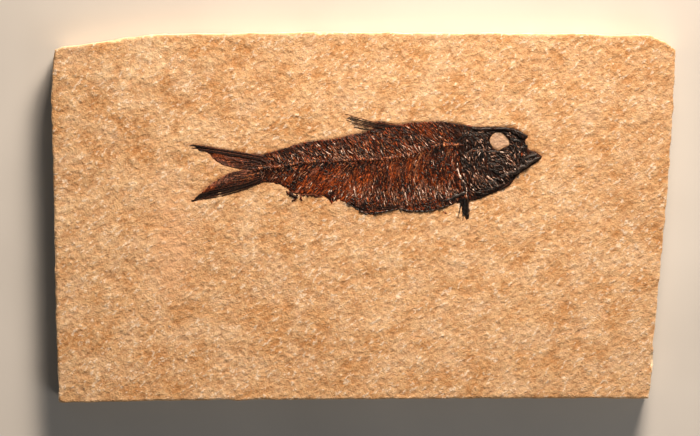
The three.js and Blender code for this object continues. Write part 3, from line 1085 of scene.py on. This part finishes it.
# ---------------------------------------------------------------- bones grown along lines
def line_object(name, paths):
    """Guide lines for bones. Each path is a list of (x, y) or (x, y, radius) in millimetres."""
    data = bpy.data.curves.new(name, "CURVE")
    data.dimensions = "3D"
    for path in paths:
        points = smooth_path(path, 0.6)
        spline = data.splines.new("POLY")
        spline.points.add(len(points) - 1)
        for point, place in zip(spline.points, points):
            point.co = (place[0] * MM, place[1] * MM, FACE * MM, 1)
            point.radius = place[2] * MM if len(place) > 2 else 1.0
    line = bpy.data.objects.new(name, data)
    bpy.context.collection.objects.link(line)
    return line


def ground_under(pieces):
    """One mesh of everything that bones lie on."""
    joined = bmesh.new()
    for piece in pieces:
        joined.from_mesh(piece.data)
    mesh = bpy.data.meshes.new("ground")
    joined.to_mesh(mesh)
    joined.free()
    ground = bpy.data.objects.new("ground", mesh)
    bpy.context.collection.objects.link(ground)
    return ground


POINTS_ALONG = 10  # points of one bone of a fan


def fan_tree():
    """Slender bones from a line of roots to a line of tips: bowed, tapered and laid on the ground."""
    plan = Plan(
        "fan_of_bones", roots="Object", tips="Object", ground="Object", count="Int", radius="Float",
        bow="Float", scatter="Float", reach="Float", lift="Float", seed="Int", finish="Material",
    )
    count, seed = plan.given("count"), plan.given("seed")
    index = plan.node("GeometryNodeInputIndex")
    bone = ((index + 0.5) / POINTS_ALONG).floor()
    along = (index - bone * POINTS_ALONG) / (POINTS_ALONG - 1)
    share = (bone + 0.5 + plan.chance(-0.4, 0.4, seed, bone)) / count
    factor = {"mode": "FACTOR"}
    root = plan.node(
        "GeometryNodeSampleCurve", factor, {"Curves": plan.shape_of("roots"), "Factor": share}, "Position"
    )
    tip = plan.node(
        "GeometryNodeSampleCurve", factor, {"Curves": plan.shape_of("tips"), "Factor": share}, "Position"
    )
    span = plan.vector_maths("SUBTRACT", tip, root)
    side = plan.vector_maths("CROSS_PRODUCT", span, (0.0, 0.0, 1.0))
    reach = along * plan.chance(0.72, 1.0, seed + 1, bone) * plan.given("reach")
    bend = along * (1 - along) * 4 * plan.given("bow") * plan.chance(0.6, 1.4, seed + 2, bone)
    scatter = plan.given("scatter")
    shift = plan.vector(
        plan.chance(-1.0, 1.0, seed + 3, bone) * scatter, plan.chance(-1.0, 1.0, seed + 4, bone) * scatter
    )
    wobble = plan.vector(
        plan.chance(-0.15, 0.15, seed + 5) * scatter, plan.chance(-0.15, 0.15, seed + 6) * scatter
    )
    place = plan.vector_maths("ADD", root, plan.scaled(span, reach))
    place = plan.vector_maths("ADD", place, plan.scaled(side, bend))
    place = plan.vector_maths("ADD", place, plan.vector_maths("ADD", shift, wobble))
    points = plan.node("GeometryNodePoints", (), {"Count": count * POINTS_ALONG, "Position": place})
    points = plan.store(points, "along", along)
    points = plan.looks(points, seed + 7, bone)
    grouping = {"Points": points, "Curve Group ID": bone, "Weight": along}
    curves = plan.node("GeometryNodePointsToCurves", (), grouping)
    curves = plan.dropped(curves, plan.given("lift"), 2)
    taper = 1 - plan.read("along") * 0.6
    return plan.finish(plan.rods(curves, plan.given("radius") * plan.read("girth") * taper, 5))


def scatter_tree():
    """Hair-thin bones strewn over a field, each turned as the field's lean attribute says."""
    plan = Plan(
        "scattered_bones", field="Object", ground="Object", density="Float", length="Float",
        radius="Float", lift="Float", seed="Int", finish="Material",
    )
    seed = plan.given("seed")
    density = plan.given("density") * plan.read("plenty")
    strewn = {"Mesh": plan.shape_of("field"), "Density": density, "Seed": seed}
    points = plan.node("GeometryNodeDistributePointsOnFaces", (), strewn, "Points")
    points = plan.looks(points, seed + 1)
    bow = {"Start": (-0.5, 0.0, 0.0), "Middle": (0.0, 0.12, 0.0), "End": (0.5, 0.0, 0.0), "Resolution": 7}
    hair = plan.node("GeometryNodeCurveQuadraticBezier", (), bow)
    turn = plan.read("lean") + plan.chance(-0.45, 0.45, seed + 3)
    turned = plan.node("FunctionNodeEulerToRotation", (), [plan.vector(z=turn)])
    size = plan.given("length") * plan.chance(0.5, 1.35, seed + 4)
    placed = {"Points": points, "Instance": hair, "Rotation": turned, "Scale": plan.vector(size, size, size)}
    curves = plan.node("GeometryNodeRealizeInstances", (), [
        plan.node("GeometryNodeInstanceOnPoints", (), placed)
    ])
    curves = plan.dropped(curves, plan.given("lift"), 2)
    middle = plan.node("GeometryNodeSplineParameter", (), (), "Factor") * 2 - 1
    taper = 1 - middle * middle * 0.7
    return plan.finish(plan.rods(curves, plan.given("radius") * plan.read("girth") * taper, 4))


def bar_tree():
    """Bones along guide lines of their own width, which is made uneven, laid on the ground."""
    plan = Plan("draped_bones", paths="Object", ground="Object", lift="Float", seed="Int", finish="Material")
    seed = plan.given("seed")
    curves = plan.store(plan.shape_of("paths"), "tint", plan.chance(0.0, 1.0, seed), "CURVE")
    width = plan.node("GeometryNodeInputRadius")
    ragged_width = width * plan.chance(0.55, 1.25, seed + 1)
    jog = plan.scaled(plan.vector(plan.chance(-1.0, 1.0, seed + 2), plan.chance(-1.0, 1.0, seed + 3)), 0.5)
    jogged = {"Geometry": curves, "Offset": plan.scaled(jog, width)}
    curves = plan.node("GeometryNodeSetPosition", (), jogged)
    curves = plan.dropped(curves, plan.given("lift"), 3)
    return plan.finish(plan.rods(curves, ragged_width, 7))


def row_tree():
    """Copies of one small bone in a row along a line, laid on the ground."""
    plan = Plan(
        "row_of_bones", line="Object", ground="Object", bone="Object", count="Int", lift="Float",
        seed="Int", finish="Material",
    )
    seed = plan.given("seed")
    line = plan.node("GeometryNodeCurveToPoints", {"mode": "COUNT"}, {
        "Curve": plan.shape_of("line"), "Count": plan.given("count"),
    }, "Points")
    tangent = plan.node("GeometryNodeSampleCurve", {"mode": "FACTOR"}, {
        "Curves": plan.shape_of("line"),
        "Factor": plan.node("GeometryNodeInputIndex") / plan.given("count"),
    }, "Tangent")
    points = plan.store(line, "tint", plan.chance(0.0, 1.0, seed))
    points = plan.dropped(points, plan.given("lift"))
    level = plan.node("FunctionNodeAlignRotationToVector", {"axis": "X"}, {"Vector": tangent})
    size = plan.chance(0.85, 1.15, seed + 1)
    placed = {
        "Points": points, "Instance": plan.shape_of("bone"), "Rotation": level,
        "Scale": plan.vector(size, size, size),
    }
    return plan.finish(plan.node("GeometryNodeInstanceOnPoints", (), placed))


def spool():
    """One vertebra: a spool with flared ends, lying along X."""
    flare = [(0.2, 0.4), (0.5, 0.6), (0.66, 0.62), (0.72, 0.3)]  # place along and radius
    rings = [(-along, radius) for along, radius in reversed(flare)] + flare
    sides = 12
    turn = 2 * math.pi * np.arange(sides) / sides
    rows = [
        np.stack([np.full(sides, along), radius * np.cos(turn), radius * np.sin(turn)], -1)
        for along, radius in rings
    ]
    faces = [
        (low + k, low + (k + 1) % sides, low + sides + (k + 1) % sides, low + sides + k)
        for low in range(0, (len(rings) - 1) * sides, sides) for k in range(sides)
    ]
    last = (len(rings) - 1) * sides
    faces += [tuple(reversed(range(sides))), tuple(range(last, last + sides))]
    return make_piece("spool", np.vstack(rows), faces, BONE)


def scute():
    """One belly scute: a small keeled scale that points backwards."""
    keel = np.array([
        (-1.0, 0, 0.05), (-0.3, 0.34, 0.06), (0.7, 0.2, 0.08), (0.7, -0.2, 0.08), (-0.3, -0.34, 0.06),
        (-0.7, 0, 0.26), (0.5, 0, 0.34),
    ])
    base = keel[:5] * [1, 1, 0] - [0, 0, 0.35]
    faces = [(0, 5, 1), (1, 5, 6, 2), (2, 6, 3), (3, 6, 5, 4), (4, 5, 0)]
    faces += [(k, (k + 1) % 5, 7 + (k + 1) % 5, 7 + k) for k in range(5)] + [(7, 8, 9, 10, 11)]
    return make_piece("scute", np.vstack([keel, base]), faces, BONE)


def field_object(name, outline, lean, plenty, hole):
    """A flat net of 1 mm cells inside an outline, with the lean and plenty of bones to be strewn on it."""
    shape = smooth_path(outline, 0.8, closed=True)
    low, high = np.floor(shape.min(0)), np.ceil(shape.max(0))
    x, y = np.meshgrid(np.arange(low[0], high[0] + 1), np.arange(low[1], high[1] + 1))
    middle = x[:-1, :-1] + 0.5, y[:-1, :-1] + 0.5
    inside = (depth_inside(*middle, outline) > 1.0) & (depth_inside(*middle, hole) < -0.9)
    number = np.arange(x.size).reshape(x.shape)
    corners = [number[:-1, :-1], number[:-1, 1:], number[1:, 1:], number[1:, :-1]]
    faces = np.stack([corner[inside] for corner in corners], -1).tolist()
    places = np.stack([x, y, np.full(x.shape, FACE)], -1).reshape(-1, 3)
    tones = {"lean": lean(x, y).ravel(), "plenty": plenty(x, y).ravel()}
    return make_piece(name, places, faces, BONE, tones)


def muscle_lean(x, y):
    """Direction of the fine bones between the muscles, which follow the chevrons."""
    off = y - backbone_height(x)
    below = np.maximum(-off, 0)
    slope = 0.75 - 0.55 * ease(x, -20, 15) - 0.034 * ease(x, -12, 10) * below
    return np.where(off > 0, math.atan2(1, -0.8), np.arctan2(1, slope))


def evenly(x, y):
    """As many bones at one place as at another."""
    return np.ones(x.shape)


def clumps(x, y):
    """More bones at some places than at others."""
    return 0.3 + 0.7 * ease(fractal(x, y, 3.2, 541, 2), -0.35, 0.45)


def between_embers(x, y):
    """Fewer bones where the rusty skin shows."""
    return clumps(x, y) * (1 - 0.75 * ember_map(x, y))


def sliver_bands(x, y):
    """Pale slivers lie most in a band over the backbone and in one above the belly."""
    off = y - backbone_height(x)
    over = np.exp(-(((off - 2.2) / 1.8) ** 2)) * ease(-x, -26, -14)
    under = np.exp(-(((y - 7 - 0.1 * np.abs(x - 8)) / 2.4) ** 2)) * ease(x, -16, -4)
    return np.clip(0.15 + over + 0.9 * under, 0, 1) * clumps(x + 31, y)


def skull_lean(x, y):
    """Direction of the splinters in the crushed skull, which wanders from place to place."""
    return 2.2 + 1.5 * fractal(x, y, 6, 551, 2)


def backbone_part(low, high):
    """The stretch of the backbone's line between two places along the slab."""
    steps = np.linspace(low, high, 9)
    return list(zip(steps.tolist(), backbone_height(steps).tolist()))


FANS = {  # roots, tips, count, radius, bow, scatter, finish
    "neural_spines": (
        backbone_part(-31, 29.5),
        [(-33.2, 18.6), (-24, 21.3), (-10, 24), (2, 26), (12, 28), (20, 28.8), (27, 28.4)],
        44, 0.17, 0.04, 0.35, BONE),
    "haemal_spines": (
        backbone_part(-31, -4), [(-33, 12.4), (-26, 11.9), (-18, 9.4), (-10, 7.8)],
        19, 0.17, 0.05, 0.3, BONE),
    "ribs_left": (
        backbone_part(-4, 29),
        [(-9.2, 6.6), (1, 4.0), (11, 4.0), (20, 4.3), (26.5, 6.2)], 23, 0.17, 0.13, 0.5, BONE),
    "ribs_right": (
        backbone_part(-3, 29.5),
        [(-8, 7.4), (2, 4.6), (12.5, 4.5), (21.5, 4.8), (27.5, 7)], 23, 0.14, 0.11, 0.8, BONE),
    "rib_ends": (
        [(-3.5, 10), (4, 9.2), (15, 9), (26.5, 12)], [(-2.5, 5.6), (5.6, 5.2), (16.4, 4.9), (27.4, 7.4)],
        25, 0.17, 0.03, 0.6, PALE_GLINT_BONE),
    "upper_tail_spines": (
        [(-29.5, 17.6), (-31, 16.2)], [(-35, 20), (-36.5, 17.6)], 5, 0.2, 0, 0.2, RAY_BONE),
    "dorsal_fin_rays": (
        [(12.6, 28.5), (8, 28.2), (2.6, 27.4)], [(-6.6, 32.6), (-5.2, 31), (-2.6, 28.1)],
        12, 0.15, -0.03, 0.2, RAY_BONE),
    "upper_tail_leading_rays": (
        [(-30.5, 19.3), (-31, 18.2)], [(-53.2, 23.2), (-51.4, 22), (-48.6, 20.9)],
        10, 0.22, 0.0, 0.2, RAY_BONE),
    "upper_tail_inner_rays": (
        [(-31.5, 18.2), (-32.5, 15.7)], [(-48.2, 20.6), (-45.6, 18), (-42.6, 16.5), (-38, 15.4)],
        18, 0.13, 0.02, 0.5, BONE),
    "lower_tail_leading_rays": (
        [(-30.5, 11.8), (-31, 12.9)], [(-52.6, 5.2), (-50.6, 6.9), (-49, 8.4)],
        10, 0.22, -0.03, 0.2, RAY_BONE),
    "lower_tail_inner_rays": (
        [(-31.5, 12.8), (-32.5, 15.2)], [(-48.8, 8.8), (-45.6, 11.7), (-42, 13.5), (-38, 14.8)],
        18, 0.13, -0.04, 0.5, BONE),
    "pectoral_fin_rays": (
        [(30, 6.6), (31.9, 6.8)], [(28.9, 0.8), (30.9, -0.3), (32.2, -0.9)],
        9, 0.2, -0.03, 0.2, DARK_BONE),
    "pelvic_fin_rays": (
        [(10.9, 4.5), (10.5, 3.5)], [(-4.4, 5.4), (-3, 3.6), (1.2, 1.4)], 7, 0.13, -0.05, 0.4, RAY_BONE),
    "branchiostegal_rays": (
        [(33.6, 14.2), (37.8, 13.2)], [(36.4, 8.4), (41.2, 10.2)], 8, 0.2, -0.04, 0.3, PALE_GLINT_BONE),
}
BARS = {  # lines of (x, y, radius), and finish
    "gill_cover_rim": (
        [[(28.6, 18.3, 0.15), (28.9, 15.2, 0.36), (29.9, 12.4, 0.42), (31.9, 10.3, 0.2)],
         [(30.2, 18.4, 0.12), (30.3, 15.4, 0.22), (31.3, 12.8, 0.22), (32.7, 11.4, 0.1)]], PALE_GLINT_BONE),
    "shoulder_bones": (
        [[(27.4, 22.9, 0.12), (29.2, 24.4, 0.55), (30.6, 25.7, 0.5), (31.9, 26.8, 0.15)],
         [(23.8, 5.3, 0.2), (26.2, 6.1, 0.6), (28.8, 7, 0.75), (31.6, 8.4, 0.35)],
         [(29.4, 21.4, 0.4), (30.2, 19.6, 0.8), (30.6, 17.4, 0.5), (30.9, 15, 0.3)]], DARK_BONE),
    "skull_roof": (
        [[(33.2, 28, 0.2), (36, 27.6, 0.35), (39, 27.9, 0.25)],
         [(39.6, 27.6, 0.2), (43, 27.9, 0.4), (45, 27.5, 0.2)],
         [(45.6, 27.4, 0.25), (47.8, 26.6, 0.4), (50.2, 25.3, 0.2)],
         [(32, 26.6, 0.2), (34.8, 24.6, 0.4), (38.2, 23.6, 0.35)],
         [(44.9, 24.6, 0.4), (47, 24, 0.6), (49.4, 22.8, 0.4), (50.6, 21.6, 0.2)]], DARK_BONE),
    "cheek_bones": (
        [[(31.4, 20.2, 0.25), (34.2, 21.5, 0.35), (38, 20.9, 0.4), (41.4, 20.6, 0.3)],
         [(38.2, 20.6, 0.35), (38.3, 16.4, 0.4), (39.8, 12.8, 0.35), (43.2, 11.6, 0.2)],
         [(41.6, 19, 0.3), (43.4, 16.6, 0.4), (44.6, 14.8, 0.3)],
         [(33.2, 18.8, 0.15), (35.4, 16.2, 0.3), (36.8, 13.2, 0.15)]], DARK_BONE),
    "jaw_bones": (
        [[(53.9, 19.2, 0.35), (50.6, 17.2, 0.7), (46.6, 15, 0.75), (42.2, 13.2, 0.4)],
         [(53.2, 20, 0.35), (51, 19.4, 0.55), (48.4, 17.6, 0.5), (45.2, 15.8, 0.25)],
         [(48.9, 22.6, 0.2), (47.8, 21, 0.45), (47.4, 19.2, 0.5), (46.6, 17.4, 0.25)]], DARK_BONE),
    "upper_jaw_gleams": (
        [[(47.5, 21.6, 0.1), (46.5, 20.4, 0.3), (46.2, 19, 0.3), (46.6, 17.7, 0.1)],
         [(40.8, 18.2, 0.15), (41.7, 17.2, 0.25), (42, 16, 0.12)],
         [(36, 19.6, 0.1), (36.8, 18.4, 0.25), (37, 17.2, 0.12)],
         [(28.4, 7.1, 0.12), (29.4, 7.6, 0.25), (30.4, 8.1, 0.12)]], PALE_GLINT_BONE),
    "tail_root_specks": (
        [[(-32.9, 19.0, 0.1), (-32.5, 18.6, 0.26)], [(-31.8, 18.1, 0.1), (-32.0, 17.6, 0.3)],
         [(-32.8, 17.4, 0.1), (-32.4, 17.0, 0.24)], [(-31.7, 16.6, 0.1), (-31.9, 16.1, 0.34)],
         [(-32.9, 16.0, 0.1), (-33.2, 15.5, 0.3)], [(-32.2, 15.1, 0.1), (-31.8, 14.7, 0.28)],
         [(-31.2, 13.7, 0.1), (-30.8, 13.3, 0.24)], [(-22.3, 17.9, 0.1), (-22.7, 17.2, 0.36)],
         [(-23.6, 17.2, 0.1), (-23.9, 16.7, 0.26)]], PALE_GLINT_BONE),
    "rusty_splinters": (
        [[(47.7, 20.9, 0.12), (48.4, 20, 0.3), (48, 19, 0.12)],
         [(46.8, 19.1, 0.1), (46.2, 18.3, 0.28), (45.4, 17.8, 0.1)],
         [(45.6, 17.4, 0.1), (44.8, 16.8, 0.22)],
         [(50.8, 17.2, 0.1), (49.2, 16.2, 0.22), (47.6, 15.4, 0.1)],
         [(46.2, 23.1, 0.1), (47.1, 22.5, 0.25), (47.4, 21.9, 0.1)],
         [(32.9, 12.6, 0.1), (33.9, 12.4, 0.3), (34.9, 12.5, 0.12)],
         [(39.2, 19.6, 0.1), (40, 18.9, 0.2), (40.4, 18.2, 0.1)],
         [(36, 5.9, 0.1), (37.4, 6.6, 0.22), (38.8, 7.2, 0.1)],
         [(33.6, 28.2, 0.12), (32.2, 28.6, 0.25), (30.8, 28.8, 0.12)],
         [(-10.1, 6.4, 0.2), (-9.6, 5.2, 0.35), (-9.4, 4.1, 0.12)],
         [(-8.3, 6.2, 0.15), (-7.6, 5.2, 0.25), (-7, 4.6, 0.1)]], RUST_BONE),
    "anal_fin_splints": (
        [[(-19.8, 7.6, 0.3), (-16.2, 7.4, 0.6), (-12.2, 6.9, 0.4)],
         [(-21.9, 5.5, 0.3), (-20.7, 6.1, 0.6), (-19.9, 7.4, 0.5)],
         [(-18.6, 5.6, 0.3), (-18.8, 6.4, 0.5), (-19.4, 7.6, 0.5)],
         [(-22.8, 8.6, 0.3), (-21.8, 7.4, 0.6), (-20.4, 7, 0.5)],
         [(-23.6, 9.2, 0.3), (-22.9, 8, 0.5), (-22.6, 7.2, 0.2)]], RAY_BONE),
    "belly_splints": (
        [[(5.4, 2.3, 0.15), (8, 3, 0.42), (10.9, 4.3, 0.25)],
         [(11.2, 3, 0.15), (11.8, 1.9, 0.3), (12.1, 0.7, 0.1)],
         [(12.4, 2.8, 0.15), (12.9, 1.6, 0.2)],
         [(-4.6, 5.3, 0.12), (0.2, 5.9, 0.2), (5.2, 6.1, 0.16), (9.6, 5.2, 0.12)],
         [(15, 2.6, 0.15), (19, 2.5, 0.3), (22.6, 3.3, 0.15)],
         [(13.6, 3.2, 0.1), (14.6, 2, 0.2)]], DARK_BONE),
    "brown_shreds": (
        [[(23.2, 2.7, 0.12), (24.6, 2.1, 0.35), (26, 1.8, 0.3), (27, 2.6, 0.12)],
         [(27.6, 4, 0.1), (28.5, 2.6, 0.25), (28.9, 1.2, 0.1)], [(1.4, 1.6, 0.12), (2.6, 0.7, 0.25)],
         [(-48.6, 21, 0.1), (-47, 20.4, 0.2), (-46.2, 19.8, 0.1)]], BONE),
    "specks_on_the_stone": (
        [[(-86.3, -52.3, 0.12), (-85.8, -52.4, 0.3), (-85.2, -52.6, 0.12)],
         [(-49.3, -11.4, 0.05), (-48.9, -13.2, 0.1), (-48, -15, 0.05)],
         [(-78.6, 30.8, 0.1), (-78.2, 31, 0.18)], [(21.6, 46.9, 0.05), (22.8, 45.6, 0.1), (24, 44.2, 0.05)],
         [(59.6, -21, 0.06), (59.4, -21.9, 0.12), (60.2, -22.4, 0.06)],
         [(39.2, -44.1, 0.06), (40, -44.5, 0.12)], [(85, -8, 0.1), (85.4, -8.1, 0.18)],
         [(50, -14.6, 0.15), (50.3, -14.7, 0.22)], [(52.7, 22.9, 0.12), (53.1, 22.7, 0.25)],
         [(52.1, 24.6, 0.08), (52.4, 24.4, 0.16)], [(54.6, 22.4, 0.08), (54.8, 22.3, 0.15)]], DARK_BONE),
}
STREWN = {  # outline, lean, plenty, hole, most bones for each mm2, length, radius, lift, finish
    "intermuscular_bones": (BODY, muscle_lean, between_embers, SKULL, 2.8, 1.8, 0.14, -0.01, BONE),
    "pale_slivers": (BODY, muscle_lean, sliver_bands, SKULL, 1.2, 1.6, 0.14, 0.06, PALE_GLINT_BONE),
    "dark_crumbs": (BODY, skull_lean, between_embers, SKULL, 1.2, 1.1, 0.19, 0.0, DARK_BONE),
    "rusty_flakes": (BODY, muscle_lean, clumps, SKULL, 0.4, 1.2, 0.2, -0.02, RUST_BONE),
    "skull_splinters": (SKULL, skull_lean, evenly, ORBIT, 1.3, 1.5, 0.17, 0.04, DARK_BONE),
    "skull_glints": (SKULL, skull_lean, clumps, ORBIT, 1.1, 1.1, 0.14, 0.07, PALE_GLINT_BONE),
}
BELLY_LINE = [
    (26.8, 4.6), (20.7, 2.7), (14.5, 2.6), (11, 3.2), (6.4, 2.4), (2.6, 1.7), (0, 2.1), (-4.4, 4.9),
]


RAY_REACH, BONE_REACH = 1.06, 0.94  # how far bones of a fan reach, as shares of the way to the tips
RAY_LIFT, BONE_LIFT = 0.06, -0.03  # how high the middles of thin bones lie over the ground
BAR_LIFT, SPOOL_LIFT, SCUTE_LIFT = -0.22, -0.3, -0.02
VERTEBRAE, SCUTES = 40, 22


def fish_bones(pieces):
    """Every bone that shows in the fish, laid on the pieces that are already there."""
    ground = ground_under(pieces)
    bones = fan_bones(ground) + bar_bones(ground) + strewn_bones(ground) + row_bones(ground)
    bpy.data.objects.remove(ground)
    return bones


def grow_over(name, tree, guides, **sizes):
    """Grows bones from guide objects, which are removed afterwards."""
    bones = grow(name, tree, **guides, **sizes)
    for guide in guides.values():
        bpy.data.objects.remove(guide)
    return bones


def fan_bones(ground):
    """Spines, ribs and fin rays."""
    tree = fan_tree()
    bones = []
    for order, (name, (roots, tips, count, radius, bow, scatter, finish)) in enumerate(FANS.items()):
        guides = {"roots": line_object("roots", [roots]), "tips": line_object("tips", [tips])}
        bones.append(grow_over(
            name, tree, guides, ground=ground, count=count, radius=radius * MM, bow=bow,
            scatter=scatter * MM, reach=BONE_REACH if finish is BONE else RAY_REACH,
            lift=(RAY_LIFT if finish is RAY_BONE else BONE_LIFT) * MM, seed=10 * order, finish=finish,
        ))
    return bones


def bar_bones(ground):
    """Single larger bones, shreds and specks."""
    tree = bar_tree()
    return [
        grow_over(
            name, tree, {"paths": line_object("paths", paths)}, ground=ground, lift=BAR_LIFT * MM,
            seed=300 + order, finish=finish,
        )
        for order, (name, (paths, finish)) in enumerate(BARS.items())
    ]


def strewn_bones(ground):
    """The countless fine bones, slivers, crumbs and splinters."""
    tree = scatter_tree()
    bones = []
    for order, (name, values) in enumerate(STREWN.items()):
        outline, lean, plenty, hole, density, length, radius, lift, finish = values
        bones.append(grow_over(
            name, tree, {"field": field_object("field", outline, lean, plenty, hole)}, ground=ground,
            density=density / MM**2, length=length * MM, radius=radius * MM, lift=lift * MM,
            seed=400 + 10 * order, finish=finish,
        ))
    return bones


def row_bones(ground):
    """The vertebrae and the belly's scutes."""
    tree = row_tree()
    backbone = {"line": line_object("line", [backbone_part(-33, 30)]), "bone": spool()}
    belly = {"line": line_object("line", [BELLY_LINE]), "bone": scute()}
    return [
        grow_over(
            "backbone_vertebrae", tree, backbone, ground=ground, count=VERTEBRAE, lift=SPOOL_LIFT * MM,
            seed=500, finish=BONE,
        ),
        grow_over(
            "belly_scutes", tree, belly, ground=ground, count=SCUTES, lift=SCUTE_LIFT * MM, seed=510,
            finish=DARK_BONE,
        ),
    ]


# ---------------------------------------------------------------- stage
slab = limestone_slab()
keep(slab, "limestone", "limestone_slab")
skins = fish_skin()
for piece in skins + fish_bones([slab, *skins]):
    keep(piece, "fossil_bone")
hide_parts("fossil_fish")


LAMPS = (  # name, place, size, power, colour, spread in degrees
    ("near_key", (110, 385, 195), 140, 0.5, "FFE9D2", 70),
    ("far_key", (220, 850, 430), 300, 5.9, "FFE9D2", 110),
    ("fill", (360, -340, 420), 300, 0.4, "FFF4E8", 120),
)
FLOOR_REACH = 900.0
FLOOR_DROP = 0.2  # the floor lies this far under the slab's back


def floor():
    """A plain pale floor."""
    finish = Finish("pale_floor")
    speck = finish.noise(60, 3.0)
    tone = finish.ramp(speck, (0.3, "B2B1AF"), (0.7, "BDBCBA"))
    paint = finish.surface(tone, 0.8, finish.bump(speck, 0.05), 0.2)
    ends = ((-1, -1), (1, -1), (1, 1), (-1, 1))
    corners = [(x * FLOOR_REACH, y * FLOOR_REACH, -FLOOR_DROP) for x, y in ends]
    make_piece("floor", corners, [(0, 1, 2, 3)], paint)


def studio():
    """Two soft low keys from beyond the slab's far right, a weak fill and a dim pale sky."""
    floor()
    for values in LAMPS:
        lamp(*values)
    world = bpy.data.worlds.new("sky")
    world.use_nodes = True
    background = world.node_tree.nodes["Background"].inputs
    background["Color"].default_value = colour("F2EFEA")
    background["Strength"].default_value = 0.12
    bpy.context.scene.world = world


def lamp(name, place, size, power, code, spread):
    """A square soft light that shines at the slab's middle, within a beam of some degrees."""
    light = bpy.data.lights.new(name, "AREA")
    light.size = size * MM
    light.spread = math.radians(spread)
    light.energy = power
    light.color = colour(code)[:3]
    body = bpy.data.objects.new(name, light)
    body.location = Vector(place) * MM
    body.rotation_euler = (-Vector(place)).to_track_quat("-Z", "Y").to_euler()
    bpy.context.collection.objects.link(body)


def camera():
    """A long lens high above the slab, tipped so that a strip of the far wall shows."""
    lens = bpy.data.cameras.new("camera")
    distance, tip = 1100.0, math.radians(6)
    width_seen, film = 213.9, 36.0
    lens.sensor_width = film
    lens.lens = film * distance / width_seen
    lens.clip_start, lens.clip_end = 0.05, 20
    body = bpy.data.objects.new("camera", lens)
    target = Vector((-4.0, 0.4, FACE)) * MM
    body.location = target + Vector((0, math.sin(tip), math.cos(tip))) * distance * MM
    body.rotation_euler = (-tip, 0, 0)
    bpy.context.collection.objects.link(body)
    bpy.context.scene.camera = body


studio()
camera()
bpy.context.scene.view_settings.view_transform = "Standard"
